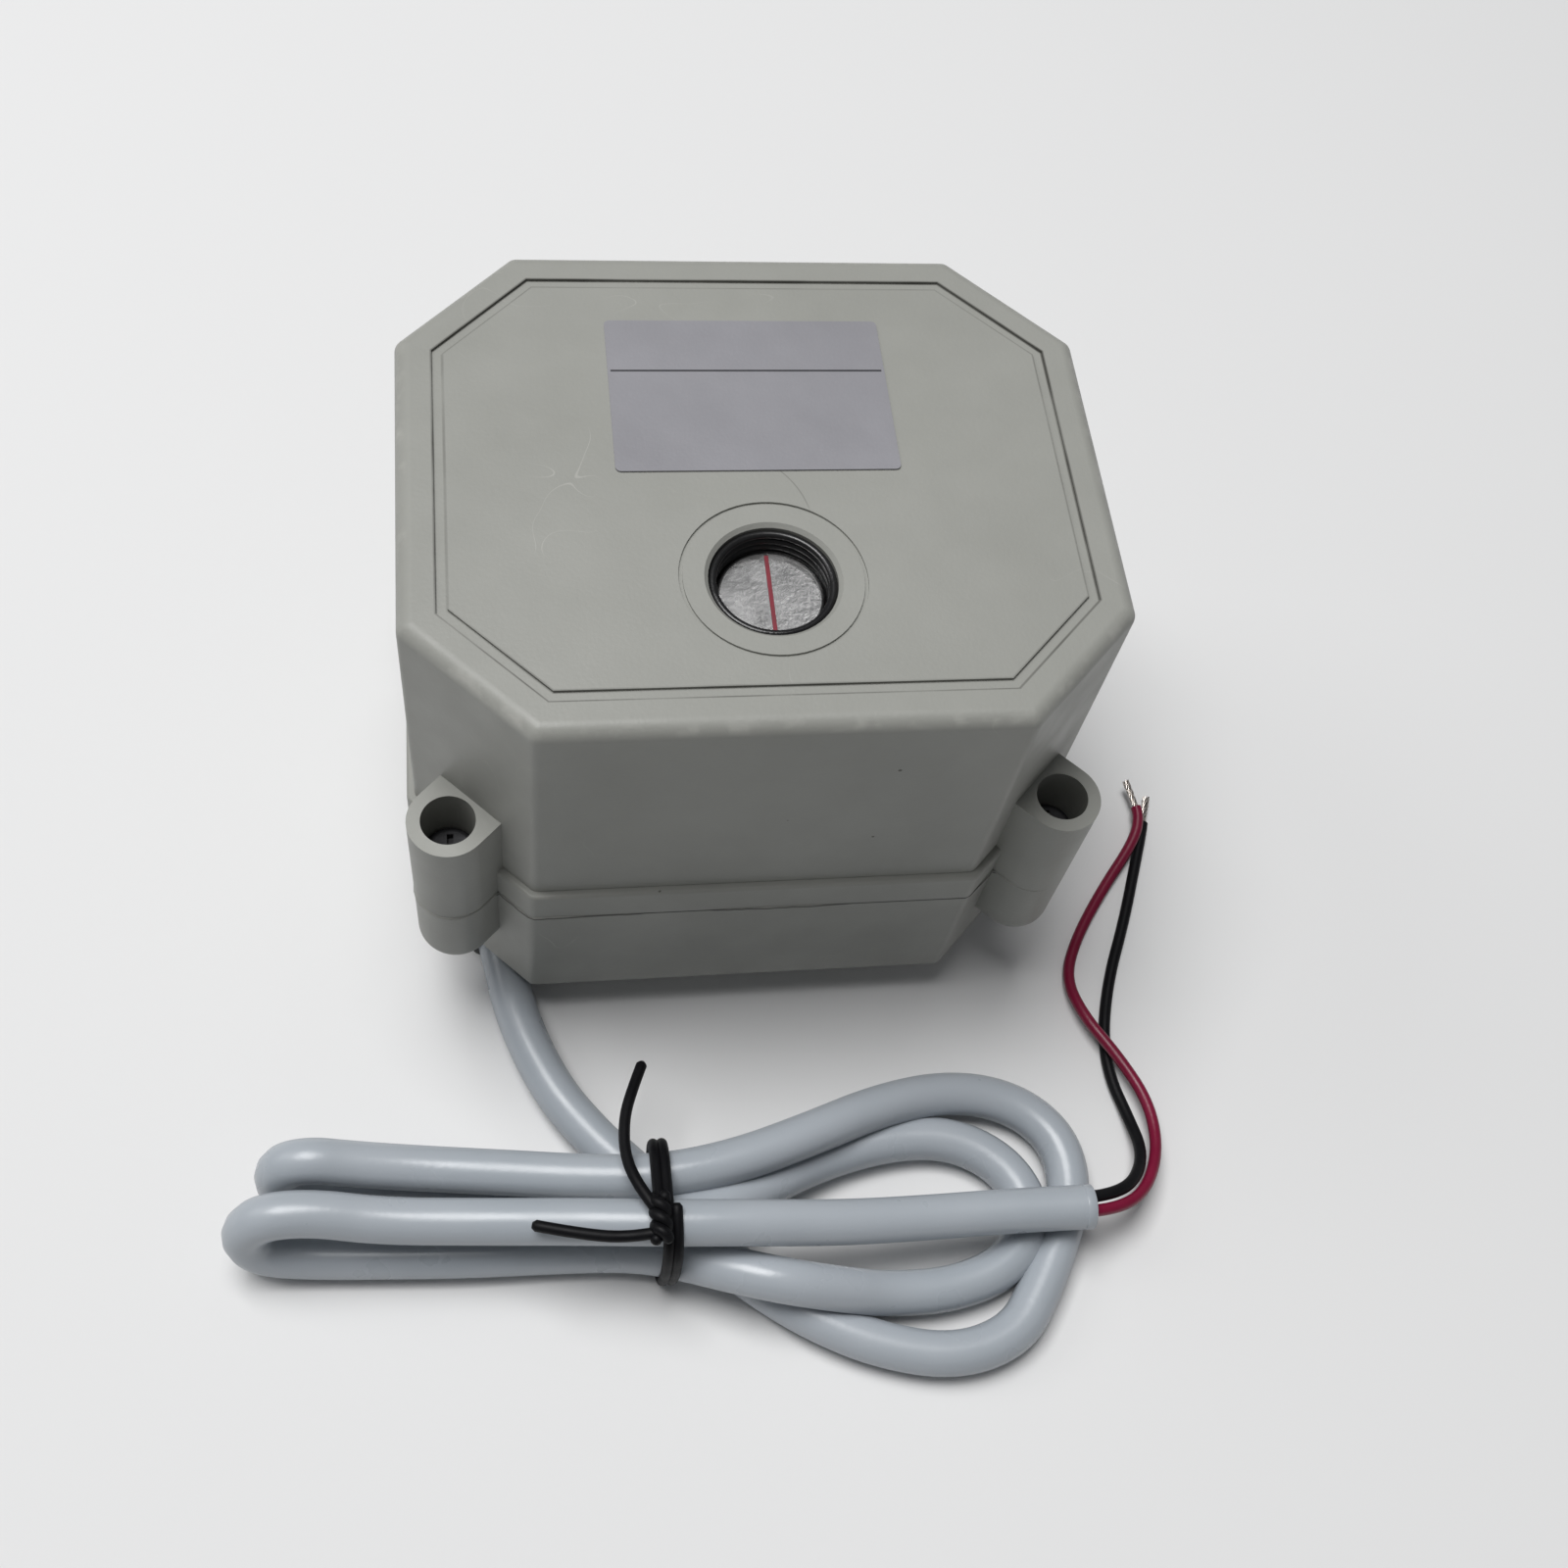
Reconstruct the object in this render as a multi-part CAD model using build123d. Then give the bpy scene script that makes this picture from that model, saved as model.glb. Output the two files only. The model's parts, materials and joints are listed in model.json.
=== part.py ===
"""Motorized valve actuator: a quarter-turn electric drive for a small ball valve.

Units are millimetres. The origin is the centre of the underside, +Z is up, +Y points to
the back and +X to the right. The output axis is parallel to Z, near the front wall.
"""
from build123d import *
import math
import os

# ---- Overall sizes -------------------------------------------------------------------
CASING_WIDTH = 72.0        # upper casing, left wall to right wall
CASING_DEPTH = 60.1        # upper casing, front wall to back wall
CASING_CHAMFER = 12.2      # leg of each corner chamfer, in plan
CASING_HEIGHT = 36.3       # parting line to top face
BASE_HEIGHT = 18.2         # underside of the base to the parting line
PEDESTAL_HEIGHT = 6.5      # foot that lifts the base off its seat
WALL = 2.5                 # casing wall
TOP_THICKNESS = 3.0
FLOOR_THICKNESS = 3.0
RIM_STEP = 0.85            # how far the rim and the base stand proud of the casing
RIM_HEIGHT = 4.7
PEDESTAL_SETBACK = 4.0     # base wall to pedestal wall

PARTING_Z = PEDESTAL_HEIGHT + BASE_HEIGHT
TOP_Z = PARTING_Z + CASING_HEIGHT
FLOOR_Z = PEDESTAL_HEIGHT + FLOOR_THICKNESS
CEILING_Z = TOP_Z - TOP_THICKNESS

# ---- Fits ----------------------------------------------------------------------------
RUNNING_FIT = 0.05         # radial, a turning or sliding piece in its bore
SEAT_FIT = 0.05            # radial, a fixed piece in its seat
PLAY = 0.3                 # between pieces that pass each other

# ---- Surface detail of the casing ----------------------------------------------------
TOP_EDGE_RADIUS = 1.6
CORNER_RADIUS = 1.3
FOOT_EDGE_RADIUS = 0.6
WINDOW_BEVEL = 0.4
PANEL_INSET = 3.74         # outer line of the shallow channel on the top face
PANEL_LINE_WIDTH = 1.1
PANEL_LINE_DEPTH = 0.3
WINDOW_RING_DIAMETER = 18.6
WINDOW_RING_WIDTH = 0.4
WINDOW_RING_DEPTH = 0.25
LABEL_WIDTH = 29.0
LABEL_DEPTH = 20.1
LABEL_THICKNESS = 0.2
LABEL_CENTRE_Y = 10.25
LABEL_CORNER_RADIUS = 0.6
GASKET_OUTER = 0.2         # inset of the gasket's outer line from the casing wall
GASKET_INNER = 1.6
GASKET_HEIGHT = 1.0

# ---- Corner screw bosses -------------------------------------------------------------
BOSS_WIDTH = 8.4
BOSS_REACH = 3.3           # screw axis, outwards from the chamfer face
BOSS_RISE = 14.3           # boss top above the parting line
BOSS_DROP = 11.7           # boss foot below the parting line
BOSS_FOOT_RADIUS = 3.0
SCREW_DIAMETER = 3.0
SCREW_LENGTH = 15.0
SCREW_HEAD_DIAMETER = 5.3
SCREW_HEAD_HEIGHT = 2.0
COUNTERBORE_DIAMETER = 5.6
COUNTERBORE_DEPTH = 8.0
THREAD_RELIEF = 1.0        # below a screw's tip
EDGE_SHARE = 0.35          # rounding of a screw head's edge, as a share of its height
RECESS_SHARE = 0.45        # depth of its cross recess, as a share of its height
RECESS_SPAN = 0.6          # length of the recess, as a share of the head
RECESS_SLOT = 0.22         # width of the recess, as a share of the thread

# ---- Output shaft --------------------------------------------------------------------
OUTPUT_Y = -13.0
SHAFT_DIAMETER = 11.0
SHAFT_END_RADIUS = 0.5
SHAFT_TOP_GAP = 2.8        # shaft end below the top face
DRIVE_DIAMETER = 12.0      # lower journal, which holds the drive socket
DRIVE_GAP = 0.6            # shaft foot above the mounting face
SOCKET_SQUARE = 7.0
SOCKET_DEPTH = 8.0
COLLAR_DIAMETER = 15.0
COLLAR_HEIGHT = 1.2
WASHER_THICKNESS = 0.5
WINDOW_DIAMETER = SHAFT_DIAMETER + 1.8
BUSH_LENGTH = 4.0
BUSH_PLAY = 0.3            # end play of the upper bush
LIP_HEIGHT = 1.6           # ledge under the upper bush
SEAL_PITCH = 0.9
SEAL_ROWS = 4
SEAL_TOP_GAP = 0.9         # top seal's middle below the top face
MARK_WIDTH = 0.45
MARK_DEPTH = 0.3
MARK_SETBACK = 0.7         # red bar's ends from the shaft's edge
MARK_FIT = 0.02
BASE_BUSH_DIAMETER = DRIVE_DIAMETER + 3.0
BASE_BUSH_LENGTH = 5.5
BASE_SEAL_SECTION = 1.3
BASE_SEAL_GAP = 0.1
WASHER_MARGIN = 1.0        # washer's rim beyond the collar
WASHER_CLEARANCE = 0.2

# ---- Valve mounting ------------------------------------------------------------------
MOUNT_PCD = 24.0
MOUNT_COUNT = 4
INSERT_DIAMETER = 5.6
INSERT_BORE = 3.3
INSERT_LENGTH = 7.0
INSERT_SETBACK = 0.2

# ---- Gear train ----------------------------------------------------------------------
PLATE_THICKNESS = 1.5
PLATE_CLEARANCE = 1.5      # plate edge to casing wall
POST_HEIGHT = 2.0          # base posts under the lower plate
PLATE_SPACE = 15.0         # between the plates
PILLAR_SIDE_INSET = 13.0   # casing wall to pillar axis
PILLAR_FRONT_INSET = 10.0
PILLAR_BACK_INSET = 12.0
PILLAR_DIAMETER = 5.0
POST_MARGIN = 1.0          # base post's edge beyond the pillar
PLATE_SCREW_DIAMETER = 2.5
PLATE_SCREW_HEAD = 4.5
PLATE_SCREW_HEAD_HEIGHT = 1.7
PLATE_SCREW_GRIP = 4.0     # depth in the base
PLATE_SCREW_TIP_GAP = 0.5
PRESSURE_ANGLE = 25.0
ADDENDUM = 0.8
DEDENDUM = 1.05
TOOTH_THINNING = 0.06      # off each tooth at the pitch circle, for backlash
OUTPUT_MODULE = 0.6
TRAIN_MODULE = 0.5
OUTPUT_TEETH = 44
PINION_TEETH = 12
SECOND_TEETH = 36
FIRST_TEETH = 36
OUTPUT_GEAR_WIDTH = 5.0
TRAIN_GEAR_WIDTH = 2.5
LAYER_GAP = 0.8
ARBOR_DIAMETER = 2.0
ARBOR_SETBACK = 0.2        # its ends below the plates' outer faces
GEAR_HUB_DIAMETER = 16.0   # output gear
GEAR_RIM_INNER = 23.6
GEAR_WEB_RECESS = 1.2
PIN_DIAMETER = 2.0
PIN_SETBACK = 0.3
TRAIN_HUB_DIAMETER = 4.4
WEB_HOLE_CIRCLE = 5.2      # radius of the circle of holes in a compound gear's web
WEB_HOLE_DIAMETER = 2.0
WEB_HOLES = 5
SECOND_DIRECTION = 40.0    # degrees, output axis to second arbor
FIRST_DIRECTION = 140.0    # degrees, second arbor to first arbor
MOTOR_DIRECTION = 172.0    # degrees, first arbor to motor

# ---- Motor ---------------------------------------------------------------------------
MOTOR_DIAMETER = 24.0
MOTOR_LENGTH = 21.0
MOTOR_WALL = 1.0
MOTOR_CAP_HEIGHT = 3.0
MOTOR_NOSE_DIAMETER = 6.0
MOTOR_SHAFT_DIAMETER = 2.0
MOTOR_SHAFT_STICKOUT = 1.5 # past the can, in the cap's bearing
MOTOR_CAP_SETBACK = 0.4    # cap's edge inside the can's
MOTOR_BEARING_DEPTH = 1.8
MOTOR_FLOOR_GAP = 0.5
MOTOR_FOOT_RADIUS = 1.0
MOTOR_SCREW_OFFSET = 8.0
MOTOR_SCREW_HEAD = 4.4
MOTOR_SCREW_HEAD_HEIGHT = 1.4
MOTOR_SCREW_SLOT = (0.6, 0.5)
MOTOR_SCREW_REACH = 1.4    # past the plate
MAGNET_THICKNESS = 3.4
MAGNET_LIFT = 4.0
MAGNET_LENGTH = 13.0
MAGNET_GAP = 6.0
ARMATURE_DIAMETER = 14.0
ARMATURE_LIFT = 4.5
ARMATURE_LENGTH = 12.0
ARMATURE_POLES = 3
SLOT_DIAMETER = 3.6
SLOT_MOUTH = 1.2
SLOT_CIRCLE_SHARE = 0.36   # slot centres, as a share of the armature's diameter
COMMUTATOR_DIAMETER = 5.0
COMMUTATOR_LENGTH = 3.5
PINION_MARGIN = 0.4        # pinion past its wheel's faces
TERMINAL_OFFSET = 7.5      # motor axis to a solder tab
TAB_THICKNESS = 0.5
TAB_WIDTH = 2.5
TAB_STICKOUT = 2.0

# ---- Limit switches and cams ---------------------------------------------------------
SWITCH_LENGTH = 12.8
SWITCH_HEIGHT = 6.5
SWITCH_WIDTH = 5.8
SWITCH_HOLE_PITCH = 6.5
SWITCH_HOLE_SETBACK = 4.6  # plunger face to the holes
SWITCH_EDGE_RADIUS = 0.4
SWITCH_PITCH_Z = 7.0
SWITCH_LIFT = 2.0          # lower switch above the upper plate
PLUNGER_DIAMETER = 1.6
PLUNGER_STICKOUT = 1.2
PLUNGER_TRAVEL = 0.6
PLUNGER_INSIDE = 3.0
PLUNGER_NOSE_RADIUS = 0.35
CAM_RADIUS = 8.0           # before the ramp
CAM_LEAD = 8.0             # degrees of ramp before the plunger meets it
CAM_STEPS = 8
CAM_THICKNESS = 2.6
CAM_HUB_DIAMETER = SHAFT_DIAMETER + 4.6
CAM_HUB_HEIGHT = 3.2
CAM_GAP = 0.15             # cam to plunger
CAM_SCREW_DIAMETER = 2.0
CAM_SCREW_SETBACK = 0.2
SWITCH_SCREW_DIAMETER = 2.0
SWITCH_SCREW_HEAD = 3.6
SWITCH_SCREW_HEAD_HEIGHT = 1.3
SPACER_DIAMETER = 3.6
SOLDER_TAB = (3.2, 0.6, 2.0)
SOLDER_TAB_PITCH = 4.4
CLIP_THICKNESS = 0.8
CLIP_DIAMETER = SHAFT_DIAMETER + 4.8
CLIP_GROOVE_DEPTH = 0.6
CLIP_MOUTH = 4.8

# ---- Circuit board -------------------------------------------------------------------
BOARD_WIDTH = 45.0
BOARD_HEIGHT = 24.0
BOARD_THICKNESS = 1.6
BOARD_STANDOFF = 2.5       # board to back wall
BOARD_LIFT = 2.0           # board above the upper plate
BOARD_FOOT_GAP = 0.5
BOARD_HEAD_GAP = 0.1
RAIL_WIDTH = 2.6
RAIL_LIP = 1.0             # rail in front of the board
RAIL_GRIP = 1.2
PART_MARGIN = 0.6          # rail to the nearest part on the board
RELAY_SIZE = (7.5, 12.0, 15.0)
RELAY_LIFT = 5.5
RELAY_GAP = 1.0            # motor to relay
CAPACITOR_DIAMETER = 8.0
CAPACITOR_LENGTH = 14.0
CAPACITOR_LIFTS = (10.5, 19.5)
TERMINAL_SIZE = (6.5, 8.0, 6.0)
TERMINAL_LIFT = 0.3
TERMINAL_MOUTH = (1.8, 4.0, 2.1)
TERMINAL_MOUTH_LIFT = 1.5

# ---- Cable ---------------------------------------------------------------------------
CABLE_DIAMETER = 5.0
WIRE_DIAMETER = 1.4
CORE_DIAMETER = 0.9
CORE_LENGTH = 4.5
GROMMET_DIAMETER = CABLE_DIAMETER + 1.3
GROMMET_INSIDE = 7.0
GROMMET_OUTSIDE = 2.5
NOTCH_REACH = 4.0          # notch past the grommet's outer end
EXIT_SHIFT = 0.6           # along the front-left chamfer, from its middle
EXIT_HEADING = -79.5       # degrees
GROUND_GAP = 0.05
EXIT_Z = GROMMET_DIAMETER / 2 + 2 * GROUND_GAP
CABLE_REST_Z = CABLE_DIAMETER / 2 + 2 * GROUND_GAP
WIRE_REST_Z = WIRE_DIAMETER / 2 + GROUND_GAP
DRAWN_EXIT = (-28.1, -21.3)    # exit that the routes below start from

# The cable's lead-out, from inside the pedestal to the hank.
CABLE_ROUTE = [
    (-29.0, -16.4, EXIT_Z),
    (-27.45, -24.8, EXIT_Z - 0.05),
    (-25.9, -33.4, CABLE_REST_Z + 0.1),
    (-22.3, -42.2, CABLE_REST_Z),
    (-17.8, -48.3, CABLE_REST_Z),
    (-14.9, -51.3, CABLE_REST_Z + 0.1),
]

# The folded hank. The fan is the plan outline of its loops. Each profile is a front and a
# back Y and the side outline, in X and Z, of the strands between them.
FAN_TOP_Z = 5.3
FAN_OUTLINE = [
    (-5.0, -51.0),
    (2.0, -49.4),
    (10.0, -45.9),
    (21.0, -43.4),
    (31.0, -45.2),
    (37.2, -51.2),
    (38.8, -58.4),
    (36.4, -66.4),
    (30.2, -74.4),
    (20.6, -78.0),
    (11.0, -76.2),
    (1.5, -71.2),
    (-5.0, -66.0),
]
BACK_EAR = [
    (-20.0, GROUND_GAP),
    (-49.5, GROUND_GAP),
    (-53.2, 3.0),
    (-54.0, 8.0),
    (-50.6, 12.4),
    (-45.5, 12.0),
    (-37.0, 10.6),
    (-28.0, 10.6),
    (-20.0, 11.2),
]
FRONT_EAR = [
    (-20.0, GROUND_GAP),
    (-52.0, GROUND_GAP),
    (-56.8, 3.0),
    (-57.6, 8.0),
    (-54.2, 13.2),
    (-48.6, 13.2),
    (-40.0, 12.0),
    (-30.0, 12.0),
    (-20.0, 13.6),
]
FREE_END = [
    (-6.0, 4.0),
    (38.2, 5.0),
    (38.2, 10.2),
    (20.0, 10.5),
    (9.0, 12.2),
    (-2.0, 14.2),
    (-6.0, 14.4),
]
BACK_HUMP = [(-6.0, 3.0), (20.0, 3.0), (15.0, 8.0), (8.0, 10.0), (-6.0, 11.6)]
FRONT_HUMP = [(-6.0, 3.0), (16.0, 3.0), (8.0, 8.4), (2.0, 10.2), (-6.0, 10.0)]
HANK_PROFILES = [
    (-55.6, -48.8, BACK_EAR),
    (-63.2, -54.8, FRONT_EAR),
    (-64.6, -59.2, FREE_END),
    (-56.4, -49.8, BACK_HUMP),
    (-70.2, -63.4, FRONT_HUMP),
]
STRAND_EDGE_RADIUS = 1.8
NECK_LEFT_X = -21.0
NECK_RIGHT_X = -4.0
NECK_FRONT_Y = -64.6
NECK_BACK_Y = -52.2
NECK_FOOT_Z = 1.5
NECK_TOP_Z = 14.7
NECK_RADIUS = 4.5

# The twist tie round the hank's neck, with its knot and two tails.
TIE_X = -11.0
TIE_WIDTH = 3.2
TIE_THICKNESS = 1.3
TIE_FIT = 0.12
KNOT_Y = -61.0
KNOT_LENGTH = 4.4
KNOT_DIAMETER = 3.2
TAIL_DIAMETER = 1.3
TAIL_ROUTES = [
    [
        (-12.4, -60.6, 16.9),
        (-14.2, -58.4, 16.8),
        (-15.3, -54.4, 16.0),
        (-15.0, -50.2, 14.4),
        (-13.9, -46.7, 13.0),
        (-12.5, -43.5, 11.8),
    ],
    [
        (-12.4, -61.8, 16.6),
        (-15.2, -63.0, 16.2),
        (-20.1, -62.5, 15.6),
        (-24.8, -61.3, 14.9),
    ],
]

# The two wires, from the cable's cut end to their bare tips.
RED_ROUTE = [
    (36.6, -62.4, 7.9),
    (40.2, -62.2, 7.2),
    (44.6, -59.9, 5.2),
    (47.9, -54.6, 3.2),
    (48.4, -48.4, 2.5),
    (46.0, -42.3, 2.4),
    (43.0, -37.0, 2.2),
    (41.9, -31.8, 1.0),
    (43.8, -26.0, WIRE_REST_Z),
    (48.0, -19.2, WIRE_REST_Z),
    (53.0, -13.0, WIRE_REST_Z),
    (54.8, -8.6, WIRE_REST_Z),
]
BLACK_ROUTE = [
    (36.6, -60.8, 7.9),
    (39.6, -60.6, 7.4),
    (42.9, -58.6, 5.8),
    (45.2, -54.6, 3.2),
    (45.3, -49.6, 1.2),
    (44.6, -44.4, WIRE_REST_Z),
    (45.0, -38.8, WIRE_REST_Z),
    (47.2, -31.6, WIRE_REST_Z),
    (50.9, -23.7, WIRE_REST_Z),
    (54.2, -15.5, WIRE_REST_Z),
    (56.8, -10.2, WIRE_REST_Z),
]

# ---- Places worked out from the sizes ------------------------------------------------
SHAFT_TOP_Z = TOP_Z - SHAFT_TOP_GAP
LOWER_PLATE_Z = FLOOR_Z + POST_HEIGHT
GEAR_SPACE_Z = LOWER_PLATE_Z + PLATE_THICKNESS
UPPER_PLATE_Z = GEAR_SPACE_Z + PLATE_SPACE
DECK_Z = UPPER_PLATE_Z + PLATE_THICKNESS
OUTPUT_GEAR_Z = GEAR_SPACE_Z + LAYER_GAP
SECOND_GEAR_Z = OUTPUT_GEAR_Z + OUTPUT_GEAR_WIDTH + LAYER_GAP
FIRST_GEAR_Z = SECOND_GEAR_Z + TRAIN_GEAR_WIDTH + LAYER_GAP
COLLAR_Z = FLOOR_Z + WASHER_THICKNESS
CLIP_Z = DECK_Z + PLAY
PIN_LENGTH = GEAR_HUB_DIAMETER - 2 * PIN_SETBACK
SCREW_SEAT_Z = PARTING_Z + BOSS_RISE - COUNTERBORE_DEPTH
SCREW_TIP_Z = SCREW_SEAT_Z - SCREW_LENGTH
GLAND_Z = TOP_Z - SEAL_TOP_GAP - SEAL_ROWS * SEAL_PITCH - BUSH_LENGTH - LIP_HEIGHT
MOTOR_TOP_Z = DECK_Z + MOTOR_LENGTH
SWITCH_X = CAM_RADIUS + CAM_GAP + PLUNGER_STICKOUT
SWITCH_TOTAL = SWITCH_X + SWITCH_HEIGHT
BOARD_Y = CASING_DEPTH / 2 - WALL - BOARD_STANDOFF - BOARD_THICKNESS / 2
BOARD_FACE_Y = BOARD_Y - BOARD_THICKNESS / 2
BOARD_Z = DECK_Z + BOARD_LIFT
BOARD_TOP_Z = BOARD_Z + BOARD_HEIGHT
BOARD_PART_X = BOARD_WIDTH / 2 - RAIL_GRIP - PART_MARGIN
OUTPUT_AXIS = (0.0, OUTPUT_Y)


def polar(start, radius, degrees):
    """The plan point at a distance and direction from another."""
    angle = math.radians(degrees)
    return (start[0] + radius * math.cos(angle), start[1] + radius * math.sin(angle))


def centre_distance(module, teeth):
    """Centre distance of a wheel and a pinion."""
    return module * (teeth + PINION_TEETH) / 2


SECOND_AXIS = polar(OUTPUT_AXIS, centre_distance(OUTPUT_MODULE, OUTPUT_TEETH), SECOND_DIRECTION)
FIRST_AXIS = polar(SECOND_AXIS, centre_distance(TRAIN_MODULE, SECOND_TEETH), FIRST_DIRECTION)
MOTOR_AXIS = polar(FIRST_AXIS, centre_distance(TRAIN_MODULE, FIRST_TEETH), MOTOR_DIRECTION)
PILLARS = [
    (side * (CASING_WIDTH / 2 - PILLAR_SIDE_INSET), y)
    for side in (-1, 1)
    for y in (PILLAR_FRONT_INSET - CASING_DEPTH / 2, CASING_DEPTH / 2 - PILLAR_BACK_INSET)
]
MOUNT_HOLES = [
    polar(OUTPUT_AXIS, MOUNT_PCD / 2, 45 + 360 * number / MOUNT_COUNT)
    for number in range(MOUNT_COUNT)
]
MOTOR_SCREW_HOLES = [
    (MOTOR_AXIS[0], MOTOR_AXIS[1] + side * MOTOR_SCREW_OFFSET) for side in (-1, 1)
]
TERMINAL_XS = (MOTOR_AXIS[0] - TERMINAL_OFFSET, MOTOR_AXIS[0] + TERMINAL_OFFSET)
SWITCH_HOLES = [
    (SWITCH_X + SWITCH_HOLE_SETBACK, OUTPUT_Y + side * SWITCH_HOLE_PITCH / 2) for side in (-1, 1)
]
RELAY_X = MOTOR_AXIS[0] + MOTOR_DIAMETER / 2 + RELAY_GAP


def exit_point():
    """Where the cable leaves the pedestal, on its front-left chamfer."""
    inset = PEDESTAL_SETBACK - RIM_STEP
    along = EXIT_SHIFT / math.sqrt(2)
    x = -(CASING_WIDTH - CASING_CHAMFER) / 2 + inset / math.sqrt(2) - along
    y = -(CASING_DEPTH - CASING_CHAMFER) / 2 + inset / math.sqrt(2) + along
    return (round(x, 1), round(y, 1), EXIT_Z)


EXIT_POINT = exit_point()
CABLE_SHIFT = (EXIT_POINT[0] - DRAWN_EXIT[0], EXIT_POINT[1] - DRAWN_EXIT[1], 0.0)


# ---- Shapes used by many pieces ------------------------------------------------------
def octagon(inset):
    """Plan outline of the casing, moved inwards by inset (outwards where it is negative)."""
    half_width = CASING_WIDTH / 2 - inset
    half_depth = CASING_DEPTH / 2 - inset
    reach = (CASING_WIDTH + CASING_DEPTH) / 2 - CASING_CHAMFER - inset * math.sqrt(2)
    quarter = [(half_width, reach - half_width), (reach - half_depth, half_depth)]
    mirrored = [(-x, y) for x, y in reversed(quarter)]
    upper = quarter + mirrored
    return Polygon(*upper, *[(-x, -y) for x, y in upper], align=None)


def prism(face, low, high):
    """A plan face raised between two heights."""
    return extrude(Pos(0, 0, low) * face, amount=high - low)


def block(inset, low, high):
    """An eight-sided block that follows the casing's outline."""
    return prism(octagon(inset), low, high)


def frame_ring(outer, inner, low, high):
    """An eight-sided ring between two insets."""
    return block(outer, low, high) - block(inner, low, high)


def rod(diameter, low, high, at=(0.0, 0.0)):
    """An upright cylinder."""
    return prism(Pos(at[0], at[1]) * Circle(diameter / 2), low, high)


def sleeve(outer, inner, low, high, at=(0.0, 0.0)):
    """An upright tube."""
    return rod(outer, low, high, at) - rod(inner, low, high, at)


def box(low, high):
    """A box between two corners."""
    size = [b - a for a, b in zip(low, high)]
    centre = [(a + b) / 2 for a, b in zip(low, high)]
    return Pos(*centre) * Box(*size)


def o_ring(inner, outer, z, at):
    """A round-section ring that fills the space between two diameters."""
    section = (outer - inner) / 4
    return Pos(at[0], at[1], z) * Torus((outer + inner) / 4, section)


def vertical_edges(solid, radius, shortest):
    """Rounds the upright corners of a block."""
    edges = solid.edges().filter_by(Axis.Z)
    return fillet([edge for edge in edges if edge.length >= shortest], radius)


# ---- Housing -------------------------------------------------------------------------
def boss_frames():
    """Local frames at the four screw axes, with +X pointing outwards from the chamfer."""
    middle_x = (CASING_WIDTH - CASING_CHAMFER) / 2
    middle_y = (CASING_DEPTH - CASING_CHAMFER) / 2
    frames = []
    for side_x, side_y in ((1, 1), (-1, 1), (-1, -1), (1, -1)):
        angle = math.degrees(math.atan2(side_y, side_x))
        x, y = polar((side_x * middle_x, side_y * middle_y), BOSS_REACH, angle)
        frames.append((x, y, angle))
    return frames


BOSSES = boss_frames()


def boss_plan():
    """Plan of one screw boss: straight flanks and a round nose, centred on its screw."""
    root = BOSS_REACH + WALL / 2
    flanks = Pos(-root / 2, 0) * Rectangle(root, BOSS_WIDTH)
    return flanks + Circle(BOSS_WIDTH / 2)


def bosses(low, high, foot_radius=0.0):
    """The four screw bosses between two heights, with a rounded foot where asked."""
    group = []
    for x, y, angle in BOSSES:
        boss = extrude(boss_plan(), amount=high - low)
        if foot_radius:
            foot_edges = boss.edges().group_by(Axis.Z)[0].filter_by(GeomType.CIRCLE)
            boss = fillet(foot_edges, foot_radius)
        group.append(Pos(x, y, low) * Rot(0, 0, angle) * boss)
    return group


def screw_holes(diameter, low, high):
    """Upright holes at the four bosses."""
    return [rod(diameter, low, high, (x, y)) for x, y, angle in BOSSES]


def board_rails():
    """Two slotted rails on the casing's back wall, which hold the circuit board."""
    back = CASING_DEPTH / 2 - WALL / 2
    front = BOARD_FACE_Y - RAIL_LIP
    rails = []
    for side in (-1, 1):
        grip = BOARD_WIDTH / 2 - RAIL_GRIP
        edges = sorted((side * grip, side * (grip + RAIL_WIDTH)))
        rails.append(box((edges[0], front, BOARD_Z), (edges[1], back, CEILING_Z)))
    return rails


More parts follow.
